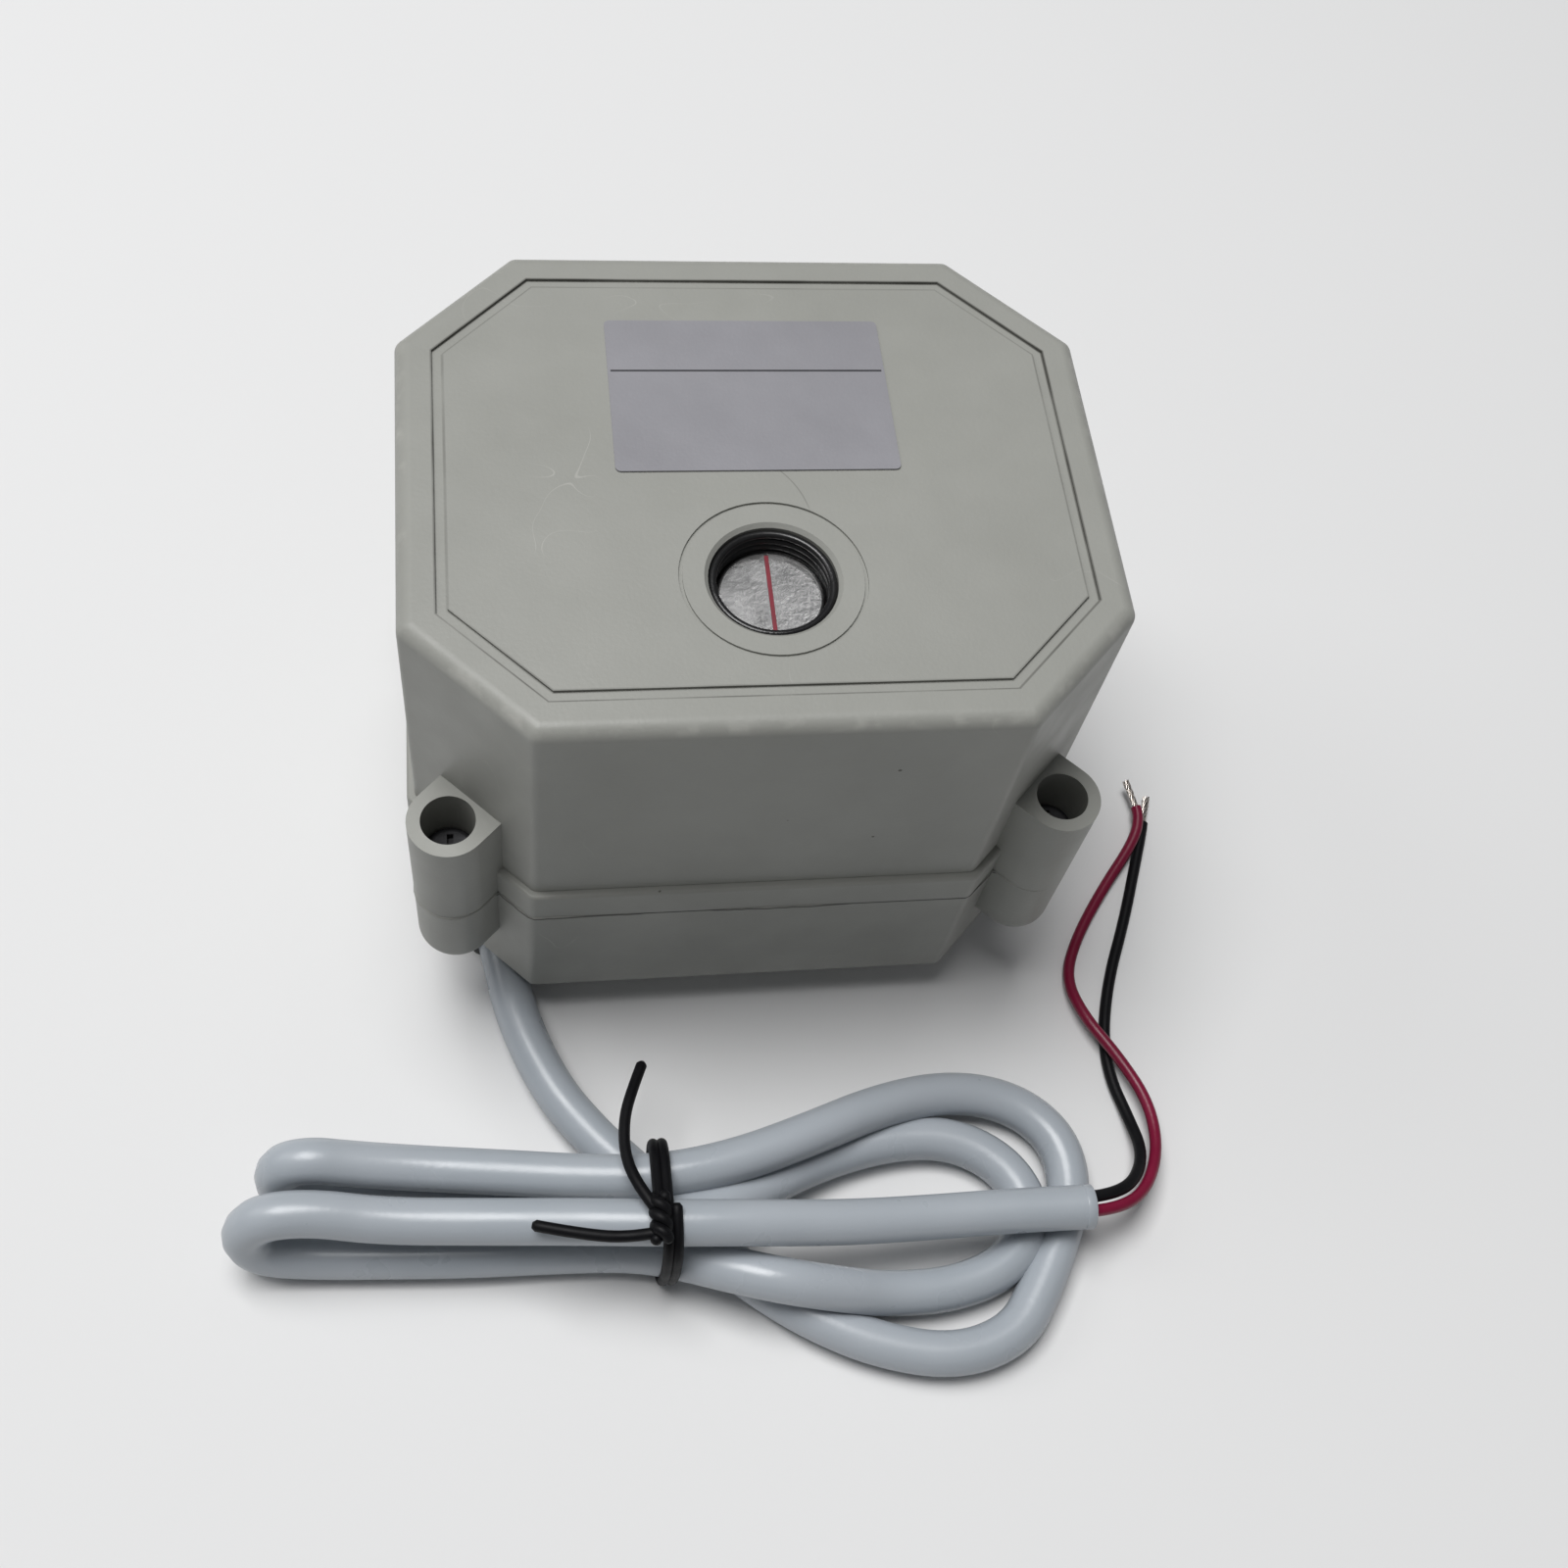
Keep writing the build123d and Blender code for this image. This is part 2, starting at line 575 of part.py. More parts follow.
def upper_casing():
    """Deep cover with the indicator window, the rim and the upper halves of the bosses."""
    shell = block(0, PARTING_Z, TOP_Z)
    shell = vertical_edges(shell, CORNER_RADIUS, CASING_HEIGHT / 2)
    shell = fillet(shell.faces().sort_by(Axis.Z)[-1].edges(), TOP_EDGE_RADIUS)
    rim = block(-RIM_STEP, PARTING_Z, PARTING_Z + RIM_HEIGHT)
    rim = vertical_edges(rim, CORNER_RADIUS, RIM_HEIGHT / 2)
    rim = fillet(rim.faces().sort_by(Axis.Z)[-1].edges(), RIM_STEP / 2)
    shell = shell + rim + bosses(PARTING_Z, PARTING_Z + BOSS_RISE)
    shell -= block(WALL, PARTING_Z, CEILING_Z)

    shell += rod(WINDOW_RING_DIAMETER, GLAND_Z, CEILING_Z, OUTPUT_AXIS)
    shell -= rod(WINDOW_DIAMETER, GLAND_Z + LIP_HEIGHT, TOP_Z, OUTPUT_AXIS)
    shell -= rod(SHAFT_DIAMETER + 2 * PLAY, GLAND_Z, CEILING_Z, OUTPUT_AXIS)
    radius = WINDOW_DIAMETER / 2
    bevel = Cone(radius, radius + WINDOW_BEVEL, WINDOW_BEVEL)
    shell -= Pos(0, OUTPUT_Y, TOP_Z - WINDOW_BEVEL / 2) * bevel

    line_z = TOP_Z - PANEL_LINE_DEPTH
    shell -= frame_ring(PANEL_INSET, PANEL_INSET + PANEL_LINE_WIDTH, line_z, TOP_Z)
    ring_inner = WINDOW_RING_DIAMETER - 2 * WINDOW_RING_WIDTH
    shell -= sleeve(WINDOW_RING_DIAMETER, ring_inner, TOP_Z - WINDOW_RING_DEPTH, TOP_Z, OUTPUT_AXIS)

    shell -= screw_holes(COUNTERBORE_DIAMETER, SCREW_SEAT_Z, TOP_Z)
    shell -= screw_holes(SCREW_DIAMETER + 2 * PLAY, PARTING_Z, SCREW_SEAT_Z)

    shell += board_rails()
    slot = BOARD_WIDTH + 2 * SEAT_FIT
    half = BOARD_THICKNESS / 2 + SEAT_FIT
    shell -= box((-slot / 2, BOARD_Y - half, BOARD_Z), (slot / 2, BOARD_Y + half, BOARD_TOP_Z))
    return shell


def base_housing():
    """Shallow cup with the mounting pedestal, the plate posts and the boss feet."""
    cup = block(-RIM_STEP, PEDESTAL_HEIGHT, PARTING_Z)
    cup = vertical_edges(cup, CORNER_RADIUS, BASE_HEIGHT / 2)
    cup = fillet(cup.faces().sort_by(Axis.Z)[0].edges(), FOOT_EDGE_RADIUS)
    foot = block(PEDESTAL_SETBACK - RIM_STEP, 0, PEDESTAL_HEIGHT)
    foot = vertical_edges(foot, CORNER_RADIUS, PEDESTAL_HEIGHT / 2)
    cup = cup + foot + bosses(PARTING_Z - BOSS_DROP, PARTING_Z, BOSS_FOOT_RADIUS)
    cup -= block(WALL, FLOOR_Z, PARTING_Z)
    cup += [rod(PILLAR_DIAMETER + 2 * POST_MARGIN, FLOOR_Z, LOWER_PLATE_Z, at) for at in PILLARS]
    grip_z = LOWER_PLATE_Z - PLATE_SCREW_GRIP
    cup -= [rod(PLATE_SCREW_DIAMETER + 2 * SEAT_FIT, grip_z, LOWER_PLATE_Z, at) for at in PILLARS]

    groove_z = PARTING_Z - GASKET_HEIGHT
    cup -= frame_ring(GASKET_OUTER - SEAT_FIT, GASKET_INNER + SEAT_FIT, groove_z, PARTING_Z)
    cup -= screw_holes(SCREW_DIAMETER + 2 * SEAT_FIT, SCREW_TIP_Z - THREAD_RELIEF, PARTING_Z)

    cup -= rod(BASE_BUSH_DIAMETER, 0, FLOOR_Z, OUTPUT_AXIS)
    cup -= [rod(INSERT_DIAMETER + 2 * SEAT_FIT, 0, INSERT_LENGTH, at) for at in MOUNT_HOLES]

    width = GROMMET_DIAMETER + 2 * SEAT_FIT
    outside = GROMMET_OUTSIDE + NOTCH_REACH
    cup -= exit_cylinder(width, GROMMET_INSIDE, outside)
    length = GROMMET_INSIDE + outside
    slot = Pos(outside - length / 2, 0, -EXIT_Z / 2) * Box(length, width, EXIT_Z)
    cup -= Pos(*EXIT_POINT) * Rot(0, 0, EXIT_HEADING) * slot
    cup -= rod(GROMMET_DIAMETER, EXIT_Z, FLOOR_Z, polar(EXIT_POINT, -GROMMET_INSIDE, EXIT_HEADING))
    return cup


def casing_gasket():
    """Flat seal in the groove at the parting line."""
    return frame_ring(GASKET_OUTER, GASKET_INNER, PARTING_Z - GASKET_HEIGHT + SEAT_FIT, PARTING_Z)


def pan_screw(diameter, head_diameter, head_height, tip, seat, at):
    """A pan-head screw pointing down, with a cross recess."""
    top = seat + head_height
    screw = rod(diameter, tip, seat, at) + rod(head_diameter, seat, top, at)
    screw = fillet(screw.faces().sort_by(Axis.Z)[-1].edges(), head_height * EDGE_SHARE)
    depth = head_height * RECESS_SHARE
    span = head_diameter * RECESS_SPAN
    slot = diameter * RECESS_SLOT
    for width, length in ((span, slot), (slot, span)):
        screw -= Pos(at[0], at[1], top - depth / 2) * Box(width, length, depth)
    return screw


def casing_screws():
    """Four screws that clamp the casing to the base, down in the boss counterbores."""
    head = (SCREW_HEAD_DIAMETER, SCREW_HEAD_HEIGHT)
    return [
        pan_screw(SCREW_DIAMETER, *head, SCREW_TIP_Z, SCREW_SEAT_Z, (x, y)) for x, y, angle in BOSSES
    ]


def nameplate():
    """Blank foil label on the top face."""
    outline = RectangleRounded(LABEL_WIDTH, LABEL_DEPTH, LABEL_CORNER_RADIUS)
    plate = Pos(0, LABEL_CENTRE_Y) * outline
    return prism(plate, TOP_Z, TOP_Z + LABEL_THICKNESS)


def mounting_inserts():
    """Threaded brass inserts that take the valve bracket's screws."""
    low, high = INSERT_SETBACK, INSERT_LENGTH - INSERT_SETBACK
    return [sleeve(INSERT_DIAMETER, INSERT_BORE, low, high, at) for at in MOUNT_HOLES]


# ---- Output shaft and its bearings ---------------------------------------------------
def output_shaft():
    """Stepped shaft with a square drive socket below and the indicator face on top."""
    shaft = rod(DRIVE_DIAMETER, DRIVE_GAP, COLLAR_Z, OUTPUT_AXIS)
    shaft += rod(COLLAR_DIAMETER, COLLAR_Z, COLLAR_Z + COLLAR_HEIGHT, OUTPUT_AXIS)
    upper = rod(SHAFT_DIAMETER, COLLAR_Z + COLLAR_HEIGHT, SHAFT_TOP_Z, OUTPUT_AXIS)
    upper = fillet(upper.faces().sort_by(Axis.Z)[-1].edges(), SHAFT_END_RADIUS)
    shaft += upper
    socket_top = DRIVE_GAP + SOCKET_DEPTH
    square = Pos(*OUTPUT_AXIS) * Rectangle(SOCKET_SQUARE, SOCKET_SQUARE)
    shaft -= prism(square, DRIVE_GAP, socket_top)
    groove_top = CLIP_Z + CLIP_THICKNESS + 2 * SEAT_FIT
    groove_floor = SHAFT_DIAMETER - 2 * CLIP_GROOVE_DEPTH
    shaft -= sleeve(SHAFT_DIAMETER + 1, groove_floor, CLIP_Z, groove_top, OUTPUT_AXIS)
    shaft -= mark_box(MARK_WIDTH, SHAFT_DIAMETER, SHAFT_TOP_Z - MARK_DEPTH)
    shaft -= drive_pin_rod(PIN_DIAMETER + 2 * SEAT_FIT)
    return shaft


def mark_box(width, length, floor_z):
    """Bar across the shaft end, from front to back."""
    low = (-width / 2, OUTPUT_Y - length / 2, floor_z)
    high = (width / 2, OUTPUT_Y + length / 2, SHAFT_TOP_Z)
    return box(low, high)


def position_mark():
    """Red bar set in the groove across the shaft end."""
    length = SHAFT_DIAMETER - 2 * MARK_SETBACK
    return mark_box(MARK_WIDTH - 2 * MARK_FIT, length, SHAFT_TOP_Z - MARK_DEPTH + MARK_FIT)


def drive_pin_rod(diameter):
    """Cross pin through the output gear's hub and the shaft."""
    z = OUTPUT_GEAR_Z + OUTPUT_GEAR_WIDTH / 2
    return Pos(0, OUTPUT_Y, z) * Rot(0, 90, 0) * Cylinder(diameter / 2, PIN_LENGTH)


def upper_bush():
    """Bearing bush in the casing's gland."""
    low = GLAND_Z + LIP_HEIGHT + SEAT_FIT
    outer = WINDOW_DIAMETER - 2 * SEAT_FIT
    bore = SHAFT_DIAMETER + 2 * RUNNING_FIT
    return sleeve(outer, bore, low, low + BUSH_LENGTH - BUSH_PLAY, OUTPUT_AXIS)


def window_seals():
    """O-rings stacked in the window, round the shaft end."""
    inner = SHAFT_DIAMETER + 2 * RUNNING_FIT
    outer = WINDOW_DIAMETER - 2 * SEAT_FIT
    top = TOP_Z - SEAL_TOP_GAP
    return [o_ring(inner, outer, top - row * SEAL_PITCH, OUTPUT_AXIS) for row in range(SEAL_ROWS)]


def lower_bush():
    """Bearing bush in the pedestal."""
    outer = BASE_BUSH_DIAMETER - 2 * SEAT_FIT
    bore = DRIVE_DIAMETER + 2 * RUNNING_FIT
    return sleeve(outer, bore, FLOOR_Z - BASE_BUSH_LENGTH, FLOOR_Z - SEAT_FIT, OUTPUT_AXIS)


def base_seal():
    """O-ring below the lower bush."""
    inner = DRIVE_DIAMETER + 2 * RUNNING_FIT
    outer = BASE_BUSH_DIAMETER - 2 * SEAT_FIT
    z = FLOOR_Z - BASE_BUSH_LENGTH - BASE_SEAL_SECTION / 2 - BASE_SEAL_GAP
    return o_ring(inner, outer, z, OUTPUT_AXIS)


def thrust_washer():
    """Washer between the shaft collar and the base floor."""
    outer = COLLAR_DIAMETER + 2 * WASHER_MARGIN
    bore = DRIVE_DIAMETER + 2 * WASHER_CLEARANCE
    return sleeve(outer, bore, FLOOR_Z, COLLAR_Z - SEAT_FIT, OUTPUT_AXIS)


def retaining_clip():
    """Snap ring that sits in the shaft groove above the upper plate."""
    bore = SHAFT_DIAMETER - 2 * CLIP_GROOVE_DEPTH + 2 * SEAT_FIT
    top = CLIP_Z + CLIP_THICKNESS
    ring = sleeve(CLIP_DIAMETER, bore, CLIP_Z + SEAT_FIT, top, OUTPUT_AXIS)
    half = CLIP_MOUTH / 2
    return ring - box((-half, OUTPUT_Y, CLIP_Z), (half, OUTPUT_Y + CLIP_DIAMETER, top))


# ---- Gears ---------------------------------------------------------------------------
def involute_angle(radius, base):
    """Angle swept by the involute at a radius, in radians."""
    slope = math.sqrt(max((radius / base) ** 2 - 1, 0))
    return slope - math.atan(slope)


def gear_face(teeth, module, phase):
    """Outline of a spur gear, with the middle of one tooth at the angle phase, in degrees."""
    pitch = module * teeth / 2
    base = pitch * math.cos(math.radians(PRESSURE_ANGLE))
    root = pitch - DEDENDUM * module
    tip = pitch + ADDENDUM * module
    low = max(base, root)
    half_at_pitch = (math.pi * module / 2 - TOOTH_THINNING) / 2 / pitch
    at_pitch = involute_angle(pitch, base)

    def half_angle(radius):
        """Half the tooth's angle at a radius."""
        return half_at_pitch + at_pitch - involute_angle(radius, base)

    def point(radius, angle):
        """A point of the outline."""
        return (radius * math.cos(angle), radius * math.sin(angle))

    middle = (low + tip) / 2
    edges = []
    for number in range(teeth):
        centre = math.radians(phase) + number * 2 * math.pi / teeth
        following = centre + 2 * math.pi / teeth
        rise = [point(radius, centre - half_angle(radius)) for radius in (low, middle, tip)]
        fall = [point(radius, centre + half_angle(radius)) for radius in (tip, middle, low)]
        foot = point(root, centre + half_angle(low))
        next_foot = point(root, following - half_angle(low))
        next_rise = point(low, following - half_angle(low))
        edges += [ThreePointArc(*rise), Line(rise[-1], fall[0]), ThreePointArc(*fall)]
        if low > root:
            edges += [Line(fall[-1], foot), Line(foot, next_foot), Line(next_foot, next_rise)]
        else:
            edges.append(Line(fall[-1], next_rise))
    return make_face(Wire(edges))


def gear(teeth, module, phase, low, width, at):
    """A spur gear blank with its teeth."""
    return prism(Pos(at[0], at[1]) * gear_face(teeth, module, phase), low, low + width)


def mating_phase(direction, teeth):
    """Phase of a gear whose tooth space faces back along a direction."""
    return direction + 180 + 180 / teeth


def web_holes(low, at):
    """Round holes through a compound gear's web."""
    spots = [polar(at, WEB_HOLE_CIRCLE, 360 * n / WEB_HOLES) for n in range(WEB_HOLES)]
    return [rod(WEB_HOLE_DIAMETER, low, low + TRAIN_GEAR_WIDTH, spot) for spot in spots]


def output_gear():
    """Large gear pinned to the output shaft."""
    low = OUTPUT_GEAR_Z
    high = low + OUTPUT_GEAR_WIDTH
    wheel = gear(OUTPUT_TEETH, OUTPUT_MODULE, SECOND_DIRECTION, low, OUTPUT_GEAR_WIDTH, OUTPUT_AXIS)
    for face in (low, high - GEAR_WEB_RECESS):
        ring = sleeve(GEAR_RIM_INNER, GEAR_HUB_DIAMETER, face, face + GEAR_WEB_RECESS, OUTPUT_AXIS)
        wheel -= ring
    wheel -= rod(SHAFT_DIAMETER + 2 * SEAT_FIT, low, high, OUTPUT_AXIS)
    return wheel - drive_pin_rod(PIN_DIAMETER + 2 * SEAT_FIT)


def compound_gear(at, big_teeth, big_z, small_module, small_z, small_width, big_phase, small_phase):
    """A large and a small gear on one hub, bored for its arbor."""
    wheel = gear(big_teeth, TRAIN_MODULE, big_phase, big_z, TRAIN_GEAR_WIDTH, at)
    wheel -= web_holes(big_z, at)
    wheel += gear(PINION_TEETH, small_module, small_phase, small_z, small_width, at)
    wheel += rod(TRAIN_HUB_DIAMETER, big_z + TRAIN_GEAR_WIDTH, UPPER_PLATE_Z - PLAY, at)
    wheel += rod(TRAIN_HUB_DIAMETER, GEAR_SPACE_Z + PLAY, small_z, at)
    return wheel - rod(ARBOR_DIAMETER + 2 * RUNNING_FIT, GEAR_SPACE_Z, UPPER_PLATE_Z, at)


def second_gear():
    """Compound gear that drives the output gear."""
    return compound_gear(
        SECOND_AXIS,
        SECOND_TEETH,
        SECOND_GEAR_Z,
        OUTPUT_MODULE,
        OUTPUT_GEAR_Z,
        OUTPUT_GEAR_WIDTH + LAYER_GAP,
        FIRST_DIRECTION,
        mating_phase(SECOND_DIRECTION, PINION_TEETH),
    )


def first_gear():
    """Compound gear that the motor pinion drives."""
    return compound_gear(
        FIRST_AXIS,
        FIRST_TEETH,
        FIRST_GEAR_Z,
        TRAIN_MODULE,
        SECOND_GEAR_Z,
        TRAIN_GEAR_WIDTH + LAYER_GAP,
        MOTOR_DIRECTION,
        mating_phase(FIRST_DIRECTION, PINION_TEETH),
    )


def arbor(at):
    """Fixed steel pin that carries a compound gear between the plates."""
    return rod(ARBOR_DIAMETER, LOWER_PLATE_Z + ARBOR_SETBACK, DECK_Z - ARBOR_SETBACK, at)


# ---- Gear plates ---------------------------------------------------------------------
def seats(diameter, low, high, places):
    """Holes that fit pins or screws of a diameter."""
    return [rod(diameter + 2 * SEAT_FIT, low, high, at) for at in places]


def gear_plate(low, shaft_hole):
    """Steel plate with holes for the arbors, the pillars' screws and the output shaft."""
    high = low + PLATE_THICKNESS
    plate = block(WALL + PLATE_CLEARANCE, low, high)
    plate -= rod(shaft_hole, low, high, OUTPUT_AXIS)
    plate -= seats(ARBOR_DIAMETER, low, high, (SECOND_AXIS, FIRST_AXIS))
    plate -= seats(PLATE_SCREW_DIAMETER, low, high, PILLARS)
    return plate


def lower_gear_plate():
    """Plate that stands on the base posts."""
    return gear_plate(LOWER_PLATE_Z, COLLAR_DIAMETER + 2 * PLAY)


def upper_gear_plate():
    """Plate that carries the motor and the limit switches."""
    plate = gear_plate(UPPER_PLATE_Z, SHAFT_DIAMETER + 2 * PLAY)
    plate -= seats(MOTOR_NOSE_DIAMETER, UPPER_PLATE_Z, DECK_Z, [MOTOR_AXIS])
    plate -= seats(PLATE_SCREW_DIAMETER, UPPER_PLATE_Z, DECK_Z, MOTOR_SCREW_HOLES)
    plate -= seats(SWITCH_SCREW_DIAMETER, UPPER_PLATE_Z, DECK_Z, SWITCH_HOLES)
    return plate


def plate_pillars():
    """Four spacers between the plates."""
    bore = PLATE_SCREW_DIAMETER + 2 * SEAT_FIT
    return [sleeve(PILLAR_DIAMETER, bore, GEAR_SPACE_Z, UPPER_PLATE_Z, at) for at in PILLARS]


def plate_screws():
    """Four long screws through plates and pillars into the base."""
    tip = LOWER_PLATE_Z - PLATE_SCREW_GRIP + PLATE_SCREW_TIP_GAP
    head = (PLATE_SCREW_HEAD, PLATE_SCREW_HEAD_HEIGHT)
    return [pan_screw(PLATE_SCREW_DIAMETER, *head, tip, DECK_Z, at) for at in PILLARS]


# ---- Motor ---------------------------------------------------------------------------
def motor_can():
    """Drawn steel can with its bearing nose through the upper plate."""
    can = rod(MOTOR_DIAMETER, DECK_Z, MOTOR_TOP_Z, MOTOR_AXIS)
    can = fillet(can.faces().sort_by(Axis.Z)[0].edges(), MOTOR_FOOT_RADIUS)
    can += rod(MOTOR_NOSE_DIAMETER, UPPER_PLATE_Z, DECK_Z + MOTOR_WALL, MOTOR_AXIS)
    floor = DECK_Z + MOTOR_WALL + MOTOR_FLOOR_GAP
    can -= rod(MOTOR_DIAMETER - 2 * MOTOR_WALL, floor, MOTOR_TOP_Z, MOTOR_AXIS)
    can -= rod(MOTOR_SHAFT_DIAMETER + 2 * RUNNING_FIT, UPPER_PLATE_Z, MOTOR_TOP_Z, MOTOR_AXIS)
    can -= seats(PLATE_SCREW_DIAMETER, DECK_Z, DECK_Z + 2 * MOTOR_WALL, MOTOR_SCREW_HOLES)
    return can


def motor_magnets():
    """Two curved magnets inside the can."""
    outer = MOTOR_DIAMETER - 2 * MOTOR_WALL - 2 * SEAT_FIT
    low = DECK_Z + MAGNET_LIFT
    ring = sleeve(outer, outer - 2 * MAGNET_THICKNESS, low, low + MAGNET_LENGTH, MOTOR_AXIS)
    gap = Box(MOTOR_DIAMETER, MAGNET_GAP, MAGNET_LENGTH)
    ring -= Pos(*MOTOR_AXIS, low + MAGNET_LENGTH / 2) * gap
    return list(ring.solids())


def motor_armature():
    """Three-pole armature and commutator on the motor shaft."""
    low = DECK_Z + ARMATURE_LIFT
    high = low + ARMATURE_LENGTH
    core = rod(ARMATURE_DIAMETER, low, high, MOTOR_AXIS)
    for number in range(ARMATURE_POLES):
        angle = (number + 0.5) * 360 / ARMATURE_POLES
        at = polar(MOTOR_AXIS, ARMATURE_DIAMETER * SLOT_CIRCLE_SHARE, angle)
        mouth_at = polar(at, ARMATURE_DIAMETER / 4, angle)
        mouth = Box(ARMATURE_DIAMETER / 2, SLOT_MOUTH, ARMATURE_LENGTH)
        core -= rod(SLOT_DIAMETER, low, high, at)
        core -= Pos(*mouth_at, (low + high) / 2) * Rot(0, 0, angle) * mouth
    core += rod(COMMUTATOR_DIAMETER, high, high + COMMUTATOR_LENGTH, MOTOR_AXIS)
    shaft_low = FIRST_GEAR_Z - PINION_MARGIN - PLAY
    shaft_high = MOTOR_TOP_Z + MOTOR_SHAFT_STICKOUT
    core += rod(MOTOR_SHAFT_DIAMETER, shaft_low, shaft_high, MOTOR_AXIS)
    return core


def motor_pinion():
    """Brass pinion on the motor shaft."""
    phase = mating_phase(MOTOR_DIRECTION, PINION_TEETH)
    low = FIRST_GEAR_Z - PINION_MARGIN
    width = TRAIN_GEAR_WIDTH + 2 * PINION_MARGIN
    pinion = gear(PINION_TEETH, TRAIN_MODULE, phase, low, width, MOTOR_AXIS)
    return pinion - rod(MOTOR_SHAFT_DIAMETER + 2 * SEAT_FIT, low, low + width, MOTOR_AXIS)


def motor_end_cap():
    """Moulded cap that closes the can and carries the rear bearing."""
    high = MOTOR_TOP_Z + MOTOR_CAP_HEIGHT
    cap = rod(MOTOR_DIAMETER - 2 * MOTOR_CAP_SETBACK, MOTOR_TOP_Z, high, MOTOR_AXIS)
    cap = fillet(cap.faces().sort_by(Axis.Z)[-1].edges(), FOOT_EDGE_RADIUS)
    bearing = MOTOR_SHAFT_DIAMETER + 2 * RUNNING_FIT
    cap -= rod(bearing, MOTOR_TOP_Z, MOTOR_TOP_Z + MOTOR_BEARING_DEPTH, MOTOR_AXIS)
    return cap - motor_tabs(SEAT_FIT, MOTOR_TOP_Z)


def motor_tabs(growth, low):
    """Two upright tabs, each side grown by a fit, from a height to their tops."""
    half_x = TAB_THICKNESS / 2 + growth
    half_y = TAB_WIDTH / 2 + growth
    y = MOTOR_AXIS[1]
    high = MOTOR_TOP_Z + MOTOR_CAP_HEIGHT + TAB_STICKOUT
    return [box((x - half_x, y - half_y, low), (x + half_x, y + half_y, high)) for x in TERMINAL_XS]


def motor_terminals():
    """Two solder tabs that stand up through the end cap."""
    return motor_tabs(0.0, MOTOR_TOP_Z + MOTOR_CAP_HEIGHT / 6)


def motor_screws():
    """Two screws that hold the motor, heads under the upper plate."""
    screws = []
    head_z = UPPER_PLATE_Z - MOTOR_SCREW_HEAD_HEIGHT
    slot_width, slot_depth = MOTOR_SCREW_SLOT
    for at in MOTOR_SCREW_HOLES:
        screw = rod(PLATE_SCREW_DIAMETER, UPPER_PLATE_Z, DECK_Z + MOTOR_SCREW_REACH, at)
        screw += rod(MOTOR_SCREW_HEAD, head_z, UPPER_PLATE_Z, at)
        slot = Box(MOTOR_SCREW_HEAD, slot_width, slot_depth)
        screws.append(screw - Pos(*at, head_z + slot_depth / 2) * slot)
    return screws


# ---- Limit switches and cams ---------------------------------------------------------
def switch_z(row):
    """Foot of a limit switch, counted from the upper plate."""
    return DECK_Z + SWITCH_LIFT + row * SWITCH_PITCH_Z


def cam_radius(turn, row):
    """Radius that faces the plunger after the shaft has turned, in degrees."""
    lift = PLUNGER_TRAVEL * turn / 90
    return CAM_RADIUS + (lift if row == 0 else PLUNGER_TRAVEL - lift)


def cam(row):
    """Disc with a straight ramp over a quarter turn, on a hub with a set screw."""
    middle = switch_z(row) + SWITCH_WIDTH / 2
    low = middle - CAM_THICKNESS / 2
    sweep_angle = 90 + 2 * CAM_LEAD
    turns = [sweep_angle * step / CAM_STEPS - CAM_LEAD for step in range(CAM_STEPS + 1)]
    ramp = [polar((0, 0), cam_radius(turn, row), -turn) for turn in turns]
    far_side = polar((0, 0), CAM_RADIUS + PLUNGER_TRAVEL / 2, 135)
    outline = Wire([Spline(*ramp), ThreePointArc(ramp[-1], far_side, ramp[0])])
    disc = prism(Pos(*OUTPUT_AXIS) * make_face(outline), low, low + CAM_THICKNESS)
    hub_top = low + CAM_THICKNESS + CAM_HUB_HEIGHT
    disc += rod(CAM_HUB_DIAMETER, low + CAM_THICKNESS, hub_top, OUTPUT_AXIS)
    disc -= rod(SHAFT_DIAMETER + 2 * SEAT_FIT, low, hub_top, OUTPUT_AXIS)
    return disc - set_screw(row, CAM_SCREW_DIAMETER + 2 * SEAT_FIT, CAM_HUB_DIAMETER / 2)


def set_screw(row, diameter, length):
    """Radial screw in a cam's hub, at the front."""
    z = switch_z(row) + SWITCH_WIDTH / 2 + CAM_THICKNESS / 2 + CAM_HUB_HEIGHT / 2
    start = OUTPUT_Y - SHAFT_DIAMETER / 2 - SEAT_FIT
    return Pos(0, start - length / 2, z) * Rot(90, 0, 0) * Cylinder(diameter / 2, length)


def cam_set_screws():
    """One set screw in each cam."""
    length = (CAM_HUB_DIAMETER - SHAFT_DIAMETER) / 2 - CAM_SCREW_SETBACK
    return [set_screw(row, CAM_SCREW_DIAMETER, length) for row in range(2)]


def plunger_rod(row, diameter, shift=0.0):
    """Plunger of a limit switch, at rest against its cam."""
    tip = cam_radius(0, row) + CAM_GAP
    length = PLUNGER_STICKOUT + PLUNGER_INSIDE
    centre = Pos(tip + length / 2 + shift, OUTPUT_Y, switch_z(row) + SWITCH_WIDTH / 2)
    return centre * Rot(0, 90, 0) * Cylinder(diameter / 2, length)


def switch_plunger(row):
    """Round-nosed actuating pin."""
    pin = plunger_rod(row, PLUNGER_DIAMETER)
    return fillet(pin.edges().sort_by(Axis.X)[0], PLUNGER_NOSE_RADIUS)


